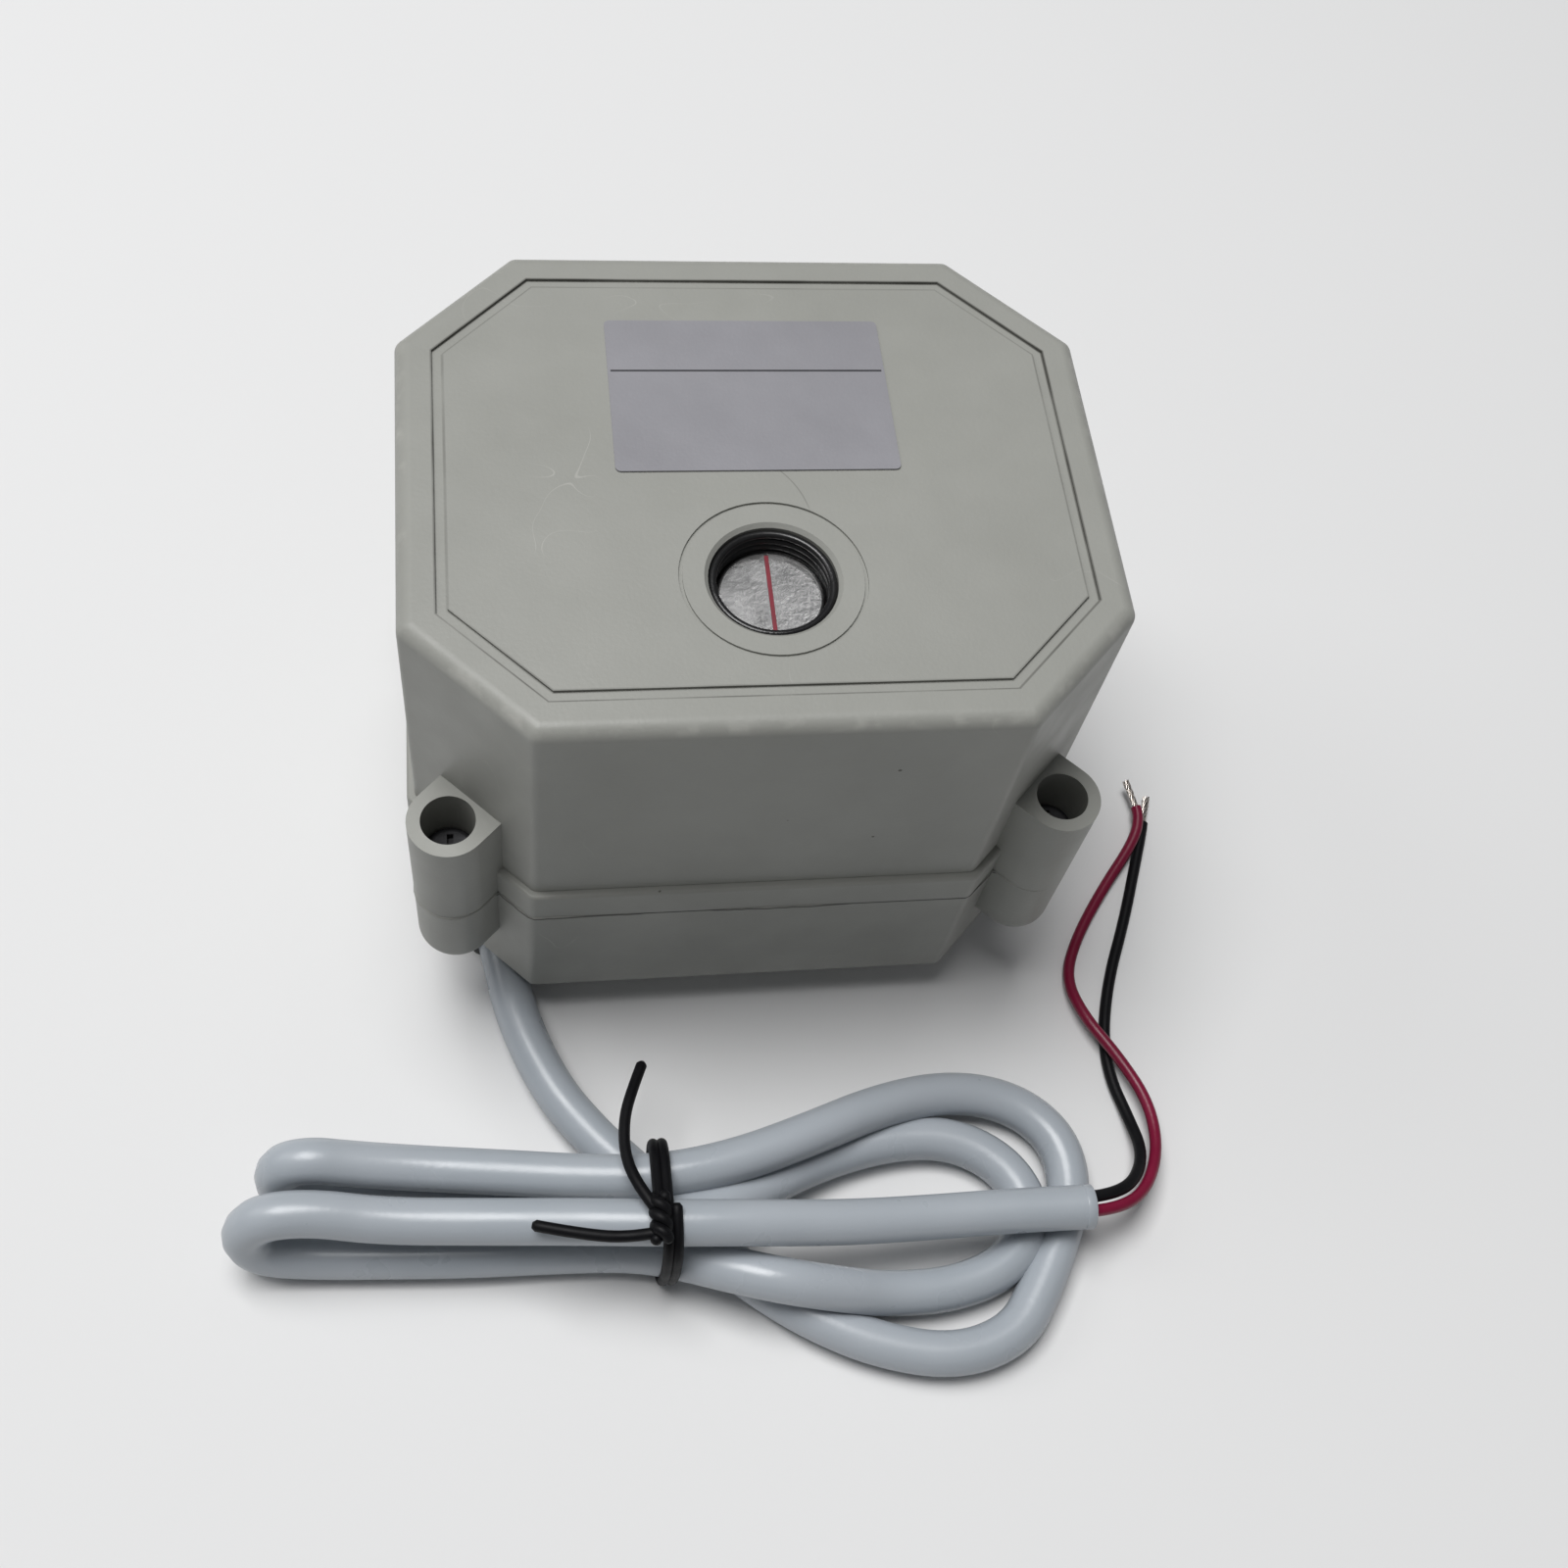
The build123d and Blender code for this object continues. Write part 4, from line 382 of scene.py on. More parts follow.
@dataclass(frozen=True)
class BoardResist(Finish):
    """Circuit board: green resist, paler over its copper tracks."""

    track: Colour = (0.05, 0.36, 0.16)
    track_scale: float = 260.0
    track_edge: Span = (0.42, 0.5)

    def colour_of(self, sheet: NodeSheet, place: Socket) -> Socket:
        """Resist with lighter tracks."""
        base = Finish.colour_of(self, sheet, place)
        inputs = {"Vector": place, "Scale": self.track_scale}
        cells = sheet.add("ShaderNodeTexVoronoi", inputs, distance="CHEBYCHEV")
        tracks = sheet.remap(cells.outputs["Distance"], *self.track_edge)
        return sheet.mix(tracks, base, self.track)


FINISHES: tuple[Finish, ...] = (
    CasingPlastic(
        "casing_plastic", (0.272, 0.274, 0.252), (0.296, 0.298, 0.275), 0.46, specular=0.4,
    ),
    LabelFoil(
        "label_foil", (0.235, 0.232, 0.250), (0.265, 0.262, 0.283), 0.38, 0.1,
        wave_height=0.0001,
    ),
    Finish(
        "black_rubber", (0.006, 0.006, 0.007), (0.012, 0.012, 0.012), 0.26, 0.16,
        specular=0.45,
    ),
    Finish(
        "nickel_steel", (0.74, 0.735, 0.73), (0.66, 0.655, 0.65), 0.24, 0.08, 1.0, 160.0,
        wave_scale=80.0, wave_height=0.00005, grain_scale=1800.0,
    ),
    Finish("red_paint", (0.21, 0.009, 0.024), (0.15, 0.008, 0.018), 0.45, drift_scale=900.0),
    Finish(
        "zinc_steel", (0.045, 0.045, 0.048), (0.03, 0.03, 0.032), 0.5, 0.2, 0.7, 300.0,
        Grain.BRUSHED_X,
    ),
    Finish(
        "brass", (0.78, 0.60, 0.27), (0.62, 0.45, 0.19), 0.28, 0.16, 1.0, 400.0, Grain.TURNED_Z,
    ),
    Finish(
        "bronze", (0.55, 0.36, 0.18), (0.40, 0.26, 0.14), 0.42, 0.16, 1.0, 500.0, Grain.TURNED_Z,
    ),
    Finish(
        "gear_plastic", (0.76, 0.74, 0.66), (0.70, 0.68, 0.60), 0.42, 0.1, drift_scale=200.0,
    ),
    Finish(
        "dark_plastic", (0.035, 0.035, 0.038), (0.055, 0.055, 0.055), 0.5, 0.15,
        drift_scale=200.0,
    ),
    Finish("magnet", (0.07, 0.068, 0.07), (0.11, 0.105, 0.10), 0.62, 0.12, 0.3, 300.0),
    BoardResist("board_green", (0.02, 0.19, 0.08), (0.02, 0.15, 0.07), 0.3, 0.1, coat=0.2),
    Finish("relay_blue", (0.03, 0.12, 0.36), (0.04, 0.15, 0.42), 0.42, 0.1, drift_scale=200.0),
    Finish(
        "capacitor_sleeve", (0.04, 0.05, 0.11), (0.06, 0.07, 0.14), 0.28, 0.1,
        grain=Grain.DRAWN_Z,
    ),
    Finish(
        "cable_sheath", (0.345, 0.378, 0.412), (0.39, 0.42, 0.455), 0.31, 0.12,
        drift_scale=55.0, grain_scale=1500.0, grain_height=0.000015, wave_scale=60.0,
        wave_height=0.00012, specular=0.55,
    ),
    Finish(
        "red_sheath", (0.155, 0.004, 0.026), (0.19, 0.006, 0.034), 0.36, 0.12,
        drift_scale=200.0, specular=0.35,
    ),
    Finish(
        "black_sheath", (0.003, 0.003, 0.004), (0.006, 0.006, 0.007), 0.5, 0.14,
        drift_scale=200.0, specular=0.14,
    ),
    Finish("tinned_copper", (0.55, 0.50, 0.46), (0.68, 0.64, 0.60), 0.26, 0.16, 1.0, 900.0),
)


class Wardrobe:
    """All finishes, made once, and the rules for putting them on."""

    def __init__(self) -> None:
        """Makes every finish."""
        self.materials = {finish.slot: finish.make() for finish in FINISHES}

    def put_on(self, piece: bpy.types.Object, slot: str) -> None:
        """Gives a built piece a finish and names its slot.

        Args:
            piece: The object to dress.
            slot: The record's material slot.
        """
        piece.data.materials.clear()
        piece.data.materials.append(self.materials[slot])

    def dress_frame(self) -> None:
        """Gives every CAD node the finish that its record names."""
        for part in frame["record"]["subparts"]:
            node = frame["nodes"][part["node"]]
            node.data.materials.clear()
            node.data.materials.append(self.materials[part["material_slot"]])
            LOG.info("dressed %s as %s", part["node"], part["material_slot"])


# ---- Curves and tubes ----------------------------------------------------------------
def nurbs(name: str, points: list[Vector], radius: float = 0.0) -> bpy.types.Object:
    """A smooth line through a route's control points.

    Args:
        name: The object's name.
        points: Control points, in metres.
        radius: Radius of the round cord along it, or 0 for the bare line.

    Returns:
        The curve object, linked to the scene.
    """
    curve = bpy.data.curves.new(name, "CURVE")
    curve.dimensions = "3D"
    curve.resolution_u = LINE_STEPS
    curve.bevel_depth = radius
    curve.bevel_resolution = ROUND_STEPS
    curve.use_fill_caps = radius > 0
    spline = curve.splines.new("NURBS")
    spline.points.add(len(points) - 1)
    for knot, point in zip(spline.points, points):
        knot.co = (*point, 1.0)
    spline.order_u = LINE_ORDER
    spline.use_endpoint_u = True
    item = bpy.data.objects.new(name, curve)
    bpy.context.scene.collection.objects.link(item)
    return item


def smooth_line(points: list[Vector]) -> list[Vector]:
    """The points of a smooth line through control points."""
    item = nurbs("line", points)
    bpy.context.view_layer.update()
    shown = item.evaluated_get(bpy.context.evaluated_depsgraph_get())
    mesh = bpy.data.meshes.new_from_object(shown)
    line = [vertex.co.copy() for vertex in mesh.vertices]
    bpy.data.objects.remove(item)
    bpy.data.meshes.remove(mesh)
    return line


def mesh_object(name: str, sheet: bmesh.types.BMesh, smooth: bool = True) -> bpy.types.Object:
    """Turns a bmesh into a linked object with outward normals.

    Args:
        name: The object's name.
        sheet: The bmesh, which is freed.
        smooth: True to shade it smooth.

    Returns:
        The new object.
    """
    bmesh.ops.remove_doubles(sheet, verts=sheet.verts, dist=MERGE_DISTANCE)
    bmesh.ops.recalc_face_normals(sheet, faces=sheet.faces)
    mesh = bpy.data.meshes.new(name)
    sheet.to_mesh(mesh)
    sheet.free()
    for face in mesh.polygons:
        face.use_smooth = smooth
    item = bpy.data.objects.new(name, mesh)
    bpy.context.scene.collection.objects.link(item)
    return item


def tube_into(sheet: bmesh.types.BMesh, line: list[Vector], radius: float, sides: int = 14) -> None:
    """Adds a closed round tube along a line to a bmesh.

    Args:
        sheet: The bmesh to add to.
        line: Centreline points, in metres.
        radius: The tube's radius; its ends are rounded.
        sides: Faces round it.
    """
    tip_reach, tip_share = radius * 0.6, 0.55
    ahead = [(b - a).normalized() for a, b in zip(line, line[1:])]
    ahead.append(ahead[-1])
    side = ahead[0].orthogonal().normalized()
    rings = []
    stations = [(line[0] - ahead[0] * tip_reach, tip_share)] + [(point, 1.0) for point in line]
    stations.append((line[-1] + ahead[-1] * tip_reach, tip_share))
    headings = [ahead[0], *ahead, ahead[-1]]
    for (point, scale), heading in zip(stations, headings):
        side = (side - heading * side.dot(heading)).normalized()
        other = heading.cross(side)
        ring = []
        for number in range(sides):
            angle = FULL_TURN * number / sides
            offset = side * math.cos(angle) + other * math.sin(angle)
            ring.append(sheet.verts.new(point + offset * radius * scale))
        rings.append(ring)
    for first, second in zip(rings, rings[1:]):
        for number in range(sides):
            after = (number + 1) % sides
            sheet.faces.new((first[number], first[after], second[after], second[number]))
    sheet.faces.new(rings[0])
    sheet.faces.new(rings[-1])


def turned(profile: list[Span], base: Vector, axis: Vector, name: str) -> bpy.types.Object:
    """A closed solid of revolution.

    Args:
        profile: Radius and height pairs, in metres, from axis to axis.
        base: Where height 0 lies.
        axis: Which way height runs.
        name: The object's name.

    Returns:
        The new object.
    """
    sides = 48
    place = Matrix.Translation(base) @ axis.to_track_quat("Z", "Y").to_matrix().to_4x4()
    sheet = bmesh.new()
    rings = []
    for radius, height in profile:
        if radius == 0.0:
            rings.append([sheet.verts.new(place @ Vector((0.0, 0.0, height)))] * sides)
            continue
        angles = [FULL_TURN * number / sides for number in range(sides)]
        rings.append([
            sheet.verts.new(place @ Vector((radius * math.cos(a), radius * math.sin(a), height)))
            for a in angles
        ])
    for first, second in zip(rings, rings[1:]):
        for number in range(sides):
            after = (number + 1) % sides
            corners = (first[number], first[after], second[after], second[number])
            sheet.faces.new(list(dict.fromkeys(corners)))
    return mesh_object(name, sheet)


# ---- Cable, tie and wires ------------------------------------------------------------
@dataclass
class TiedCable:
    """The grey control cable: lead-out, folded hank and cut end.

    The control points of its runs are millimetres.
    """

    diameter: float = 5.0 * MM
    jacket_wall: float = 0.75 * MM
    cut_length: float = 1.0 * MM
    cut_depth: float = 0.5 * MM
    cut_edge: float = 0.12 * MM
    plug_share: float = 0.99       # the cut end's root, just inside the sheath
    length: float = 0.494
    lead: list[Point] = field(default_factory=lambda: [
        (-29.0, -16.4, 3.25), (-27.45, -24.8, 3.2), (-25.9, -33.4, 2.7),
        (-22.3, -42.2, 2.6), (-17.8, -48.3, 2.6), (-14.9, -51.3, 2.7),
    ])
    outer_loop: list[Point] = field(default_factory=lambda: [
        (-11.2, -55.6, 3.7), (-6.8, -60.6, 2.8), (-1.6, -65.6, 2.6), (4.6, -70.2, 2.6),
        (12.0, -74.0, 2.6), (20.4, -75.9, 2.6), (27.4, -74.0, 2.6), (30.9, -69.4, 2.6),
        (34.0, -64.2, 2.6), (36.6, -58.4, 2.6), (36.4, -52.8, 2.6), (33.2, -48.6, 2.6),
        (28.0, -46.3, 3.0), (21.6, -46.1, 4.0), (14.4, -47.9, 5.8), (6.4, -51.1, 7.6),
        (-2.4, -54.1, 8.9), (-11.0, -55.4, 9.3), (-19.0, -54.7, 8.7), (-28.0, -53.3, 8.0),
    ])
    back_ear: list[Point] = field(default_factory=lambda: [
        (-37.0, -52.2, 8.0), (-44.0, -51.6, 9.2), (-48.8, -51.2, 10.6), (-52.0, -51.4, 8.8),
        (-52.0, -52.3, 4.6), (-48.6, -52.9, 2.5), (-43.0, -53.2, 2.6), (-33.0, -53.8, 2.6),
        (-24.0, -55.4, 3.0), (-17.0, -57.7, 5.3),
    ])
    inner_loop: list[Point] = field(default_factory=lambda: [
        (-11.0, -59.4, 7.6), (-5.8, -58.9, 7.4), (0.2, -56.2, 4.9), (7.2, -52.8, 2.8),
        (15.4, -50.9, 2.6), (22.8, -51.0, 2.6), (28.4, -54.0, 2.6), (31.2, -58.6, 2.6),
        (30.6, -63.4, 2.6), (26.8, -66.9, 2.6), (20.6, -68.6, 2.6), (13.4, -68.6, 3.2),
        (7.6, -68.3, 6.0), (1.8, -67.5, 7.9), (-4.0, -65.6, 7.2), (-9.0, -63.2, 4.6),
    ])
    front_ear: list[Point] = field(default_factory=lambda: [
        (-14.0, -61.6, 3.6), (-22.0, -60.9, 2.7), (-32.0, -60.6, 2.6), (-41.0, -60.0, 2.6),
        (-48.0, -59.5, 2.55), (-53.8, -59.0, 3.6), (-55.6, -58.0, 7.3), (-53.4, -57.3, 11.2),
        (-48.0, -57.2, 11.2), (-41.0, -58.2, 9.7), (-31.0, -59.0, 9.6), (-20.0, -60.3, 11.3),
    ])
    free_end: list[Point] = field(default_factory=lambda: [
        (-11.0, -61.4, 12.3), (-2.0, -61.9, 11.8), (8.0, -62.1, 9.8), (18.0, -61.8, 8.1),
        (28.0, -61.6, 7.6), (36.1, -61.8, 7.6),
    ])

    def route(self) -> list[Vector]:
        """All control points from the exit to the cut end."""
        runs = self.lead + self.outer_loop + self.back_ear + self.inner_loop
        return metres(runs + self.front_ear + self.free_end)

    def build(self, wardrobe: Wardrobe) -> tuple[bpy.types.Object, bpy.types.Object]:
        """Builds the cable and its cut end.

        Args:
            wardrobe: The finishes.

        Returns:
            The cable's curve and the cut end.
        """
        route = self.route()
        cable = nurbs("control_cable", route, self.diameter / 2)
        wardrobe.put_on(cable, "cable_sheath")
        heading = (route[-1] - route[-2]).normalized()
        outer, inner = self.diameter / 2, self.diameter / 2 - self.jacket_wall
        long, deep = self.cut_length, self.cut_length - self.cut_depth
        edge = self.cut_edge
        profile = [
            (0.0, -edge), (outer * self.plug_share, -edge), (outer, 0.0), (outer, long - edge),
            (outer - edge, long), (inner + edge, long), (inner, long - edge), (inner, deep),
            (0.0, deep),
        ]
        cut = turned(profile, route[-1], heading, "cable_cut_end")
        wardrobe.put_on(cut, "cable_sheath")
        return cable, cut


@dataclass
class TwistTie:
    """Black covered wire wrapped twice round the hank's neck, twisted, with two tails.

    The wire's diameter is metres; every other length is millimetres.
    """

    wire: float = 1.25 * MM
    turns: int = 2
    left_x: float = -12.0
    pitch: float = 0.95
    neck: list[tuple[float, float]] = field(default_factory=lambda: [
        (-60.6, 15.4), (-57.4, 14.0), (-53.6, 12.6), (-51.4, 9.6), (-52.0, 5.2), (-53.4, 1.6),
        (-57.6, 0.7), (-62.2, 0.7), (-65.0, 2.2), (-65.7, 5.8), (-65.6, 10.2), (-64.4, 14.0),
    ])
    back_tail: list[Point] = field(default_factory=lambda: [
        (-12.6, -60.6, 16.1), (-14.0, -58.4, 15.9), (-15.2, -54.6, 14.6), (-15.0, -50.2, 13.6),
        (-13.9, -46.7, 12.8), (-12.5, -43.3, 11.6),
    ])
    left_tail: list[Point] = field(default_factory=lambda: [
        (-12.2, -63.2, 15.6), (-15.2, -63.5, 15.3), (-20.1, -62.7, 15.0), (-24.9, -61.3, 14.6),
    ])
    twist_turns: float = 1.6
    twist_length: float = 4.6
    twist_middle: Point = (-12.0, -61.8, 15.9)
    twist_steps: int = 16
    lay_share: float = 0.52        # twist's radius, in wire diameters

    def wraps(self) -> list[Vector]:
        """Turns round the neck, each one pitch further right."""
        points = []
        for turn in range(self.turns):
            for number, (y, z) in enumerate(self.neck):
                share = turn + number / len(self.neck)
                points.append((self.left_x + self.pitch * share, y, z))
        points.append((points[-1][0], *self.neck[0]))
        return metres(points)

    def twist(self, phase: float) -> list[Vector]:
        """One of the two wires of the twisted knot."""
        points = []
        for number in range(self.twist_steps + 1):
            share = number / self.twist_steps
            angle = phase + FULL_TURN * self.twist_turns * share
            x, y, z = self.twist_middle
            reach = self.wire / MM * self.lay_share
            y += self.twist_length * (share - 0.5)
            points.append((x + reach * math.cos(angle), y, z + reach * math.sin(angle)))
        return metres(points)

    def build(self, wardrobe: Wardrobe) -> bpy.types.Object:
        """Builds the whole tie as one piece.

        Args:
            wardrobe: The finishes.

        Returns:
            The tie.
        """
        sheet = bmesh.new()
        lines = [self.wraps(), metres(self.back_tail), metres(self.left_tail)]
        lines += [self.twist(0.0), self.twist(math.pi)]
        for points in lines:
            tube_into(sheet, smooth_line(points), self.wire / 2)
        tie = mesh_object("twist_tie_wire", sheet)
        wardrobe.put_on(tie, "black_sheath")
        return tie


class GrowingTree:
    """A Geometry Nodes tree that grows a mesh along a line, with named inputs."""

    title = ""
    inputs: tuple[tuple[str, str, object], ...] = ()

    def __init__(self) -> None:
        """Builds the tree and its named inputs."""
        self.tree = bpy.data.node_groups.new(self.title, "GeometryNodeTree")
        face = self.tree.interface
        face.new_socket("Geometry", in_out="INPUT", socket_type="NodeSocketGeometry")
        self.sockets: dict[str, str] = {}
        for name, kind, value in self.inputs:
            socket = face.new_socket(name, in_out="INPUT", socket_type=kind)
            if value is not None:
                socket.default_value = value
            self.sockets[name] = socket.identifier
        face.new_socket("Geometry", in_out="OUTPUT", socket_type="NodeSocketGeometry")
        self.sheet = NodeSheet(self.tree)
        self.given = self.sheet.add("NodeGroupInput").outputs
        self.fill()

    def fill(self) -> None:
        """Lays out the nodes between the tree's input and its output."""
        raise NotImplementedError

    def sweep(self, line: Socket, radius: str, **more: object) -> None:
        """Sweeps a small circle along a line, and ends the tree with the result.

        Args:
            line: The curve to follow.
            radius: The name of the input that holds the circle's radius.
            **more: Further inputs of the sweep, with _ for a space.
        """
        sheet, given = self.sheet, self.given
        inputs = {"Resolution": SWEEP_SIDES, "Radius": given[radius]}
        ring = sheet.add("GeometryNodeCurvePrimitiveCircle", inputs).outputs[0]
        inputs = {"Curve": line, "Profile Curve": ring}
        inputs.update({name.replace("_", " "): value for name, value in more.items()})
        solid = sheet.add("GeometryNodeCurveToMesh", inputs).outputs[0]
        solid = sheet.add("GeometryNodeRealizeInstances", {"Geometry": solid}).outputs[0]
        inputs = {"Geometry": solid, "Material": given["Material"]}
        solid = sheet.add("GeometryNodeSetMaterial", inputs).outputs[0]
        sheet.add("NodeGroupOutput", {"Geometry": solid})


class StrandTree(GrowingTree):
    """Lays thin strands round a straight line, splayed at its end."""

    title = "laid_strands"
    inputs = (
        ("Strands", "NodeSocketInt", 7),
        ("Strand Radius", "NodeSocketFloat", 0.00015),
        ("Lay Radius", "NodeSocketFloat", 0.0003),
        ("Turns", "NodeSocketFloat", 0.8),
        ("Splay", "NodeSocketFloat", 0.0004),
        ("Seed", "NodeSocketInt", 1),
        ("Material", "NodeSocketMaterial", None),
    )
    line_points = 14
    least_splay = 0.1
    splay_power = 2.6

    def fill(self) -> None:
        """Lays out the nodes: one strand in the middle and the rest round it."""
        sheet, given = self.sheet, self.given
        line = sheet.add("GeometryNodeMeshToCurve", {"Mesh": given["Geometry"]}).outputs[0]
        inputs = {"Curve": line, "Count": self.line_points}
        line = sheet.add("GeometryNodeResampleCurve", inputs).outputs[0]
        share = sheet.add("GeometryNodeSplineParameter").outputs["Factor"]
        kept = sheet.add(
            "GeometryNodeStoreNamedAttribute", {"Geometry": line, "Name": "share", "Value": share},
            data_type="FLOAT", domain="POINT",
        ).outputs[0]
        inputs = {"Geometry": kept, "Amount": given["Strands"]}
        copies = sheet.add("GeometryNodeDuplicateElements", inputs, domain="SPLINE")
        number = copies.outputs["Duplicate Index"]
        named = sheet.add("GeometryNodeInputNamedAttribute", {"Name": "share"}, data_type="FLOAT")
        along = named.outputs[0]
        around = sheet.math("SUBTRACT", given["Strands"], 1.0)
        start = sheet.math("MULTIPLY", sheet.math("DIVIDE", number, around), FULL_TURN)
        turned_by = sheet.math("MULTIPLY", sheet.math("MULTIPLY", along, given["Turns"]), FULL_TURN)
        angle = sheet.math("ADD", start, turned_by)
        is_outer = sheet.math("LESS_THAN", number, sheet.math("SUBTRACT", around, 0.5))
        inputs = {"Min": self.least_splay, "Max": 1.0, "ID": number, "Seed": given["Seed"]}
        random = sheet.add("FunctionNodeRandomValue", inputs, data_type="FLOAT").outputs[1]
        late = sheet.math("POWER", along, self.splay_power)
        spread = sheet.math("MULTIPLY", late, sheet.math("MULTIPLY", random, given["Splay"]))
        wide = sheet.math("ADD", given["Lay Radius"], spread)
        reach = sheet.math("MULTIPLY", is_outer, wide)
        tangent = sheet.add("GeometryNodeInputTangent").outputs[0]
        normal = sheet.add("GeometryNodeInputNormal").outputs[0]
        other = self.vector("CROSS_PRODUCT", {0: tangent, 1: normal})
        parts = []
        for axis, function in ((normal, "COSINE"), (other, "SINE")):
            length = sheet.math("MULTIPLY", reach, sheet.math(function, angle))
            parts.append(self.vector("SCALE", {0: axis, "Scale": length}))
        offset = self.vector("ADD", {0: parts[0], 1: parts[1]})
        inputs = {"Geometry": copies.outputs[0], "Offset": offset}
        laid = sheet.add("GeometryNodeSetPosition", inputs).outputs[0]
        self.sweep(laid, "Strand Radius", Fill_Caps=True)

    def vector(self, operation: str, inputs: dict) -> Socket:
        """Adds one vector operation and returns its socket."""
        return self.sheet.add("ShaderNodeVectorMath", inputs, operation=operation).outputs[0]


def grown(
    name: str, points: list[Vector], closed: bool, tree: bpy.types.NodeTree, values: dict
) -> bpy.types.Object:
    """Runs a Geometry Nodes tree on a line and keeps the result as a plain mesh.

    Args:
        name: The new object's name.
        points: The line, in metres.
        closed: True to join its ends.
        tree: The tree to run.
        values: Input values by socket identifier.

    Returns:
        The new object, with no modifier.
    """
    edges = [(n, n + 1) for n in range(len(points) - 1)]
    if closed:
        edges.append((len(points) - 1, 0))
    mesh = bpy.data.meshes.new(name + "_line")
    mesh.from_pydata([tuple(point) for point in points], edges, [])
    maker = bpy.data.objects.new(name + "_line", mesh)
    bpy.context.scene.collection.objects.link(maker)
    modifier = maker.modifiers.new("grow", "NODES")
    modifier.node_group = tree
    for identifier, value in values.items():
        modifier[identifier] = value
    bpy.context.view_layer.update()
    shown = maker.evaluated_get(bpy.context.evaluated_depsgraph_get())
    made = bpy.data.meshes.new_from_object(shown)
    bpy.data.objects.remove(maker)
    bpy.data.meshes.remove(mesh)
    sheet = bmesh.new()
    sheet.from_mesh(made)
    materials = list(made.materials)
    bpy.data.meshes.remove(made)
    item = mesh_object(name, sheet)
    for material in materials:
        item.data.materials.append(material)
    return item


@dataclass
class SupplyWire:
    """One insulated wire from the cable's end, with its bare stranded tip."""

    name: str
    slot: str
    node: str
    length: float
    points: list[Point]
    tip_length: float = 4.5 * MM
    diameter: float = 1.4 * MM
    tip_root: float = 0.5 * MM     # how far the strands start inside the sheath
    strands: int = 7
    strand_radius: float = 0.14 * MM
    turns: float = 0.7
    splay: float = 0.12 * MM
    seed: int = 1

    def build(
        self, wardrobe: Wardrobe, laying: StrandTree
    ) -> tuple[bpy.types.Object, bpy.types.Object]:
        """Builds the wire and its tip.

        Args:
            wardrobe: The finishes.
            laying: The tree that lays the tip's strands.

        Returns:
            The wire's curve and the tip.
        """
        route = metres(self.points)
        wire = nurbs(self.name, route, self.diameter / 2)
        wardrobe.put_on(wire, self.slot)
        heading = (route[-1] - route[-2]).normalized()
        start = route[-1] - heading * self.tip_root
        names = laying.sockets
        values = {
            names["Strands"]: self.strands,
            names["Strand Radius"]: self.strand_radius,
            names["Lay Radius"]: self.strand_radius * 2.0,      # side by side round the middle one
            names["Turns"]: self.turns,
            names["Splay"]: self.splay,
            names["Seed"]: self.seed,
            names["Material"]: wardrobe.materials["tinned_copper"],
        }
        end = start + heading * self.tip_length
        tip = grown(self.name + "_tip", [start, end], False, laying.tree, values)
        return wire, tip


@dataclass
class CableGroup:
    """The cable, its tie and its two wires."""

    cable: TiedCable = field(default_factory=TiedCable)
    tie: TwistTie = field(default_factory=TwistTie)
    exit_point: Point = (-28.1, -21.3, 3.25)    # where the sheath leaves the grommet
    red: SupplyWire = field(default_factory=lambda: SupplyWire(
        "red_supply_wire", "red_sheath", "red_wire", 0.066,
        [(36.6, -62.4, 7.9), (40.2, -62.2, 7.2), (44.6, -59.9, 5.2), (47.9, -54.6, 3.2),
         (48.3, -48.4, 2.5), (45.7, -42.3, 2.4), (42.6, -37.0, 2.2), (41.6, -31.4, 1.0),
         (44.0, -26.0, 0.75), (48.9, -19.2, 0.8), (54.0, -13.2, 1.7), (55.5, -9.8, 2.2),
         (55.3, -8.3, 2.2)],
    ))
    black: SupplyWire = field(default_factory=lambda: SupplyWire(
        "black_supply_wire", "black_sheath", "black_wire", 0.0595,
        [(36.6, -60.8, 7.9), (39.6, -60.6, 7.4), (43.4, -58.8, 5.8), (46.0, -54.6, 3.2),
         (45.8, -49.6, 1.2), (44.7, -44.4, 0.75), (45.0, -38.8, 0.75), (47.2, -31.6, 0.75),
         (50.9, -23.7, 0.75), (54.0, -15.9, 0.75), (55.6, -11.9, 0.75), (56.3, -9.9, 0.75)],
        seed=5,
    ))

    def build(self, wardrobe: Wardrobe) -> None:
        """Builds everything on the cable, sets it on the housing and hides the CAD pieces it stands
        in for.

        Args:
            wardrobe: The finishes.
        """
        cable, cut = self.cable.build(wardrobe)
        tie = self.tie.build(wardrobe)
        for piece in (cable, cut, tie):
            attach(piece, "housing")
        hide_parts("cable_lead", "cable_hank")
        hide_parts("twist_tie")
        strands = StrandTree()
        for wire in (self.red, self.black):
            cord, tip = wire.build(wardrobe, strands)
            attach(cord, "housing")
            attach(tip, "housing")
            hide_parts(wire.node)
            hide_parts(wire.node + "_core")
            LOG.info("built %s", wire.name)


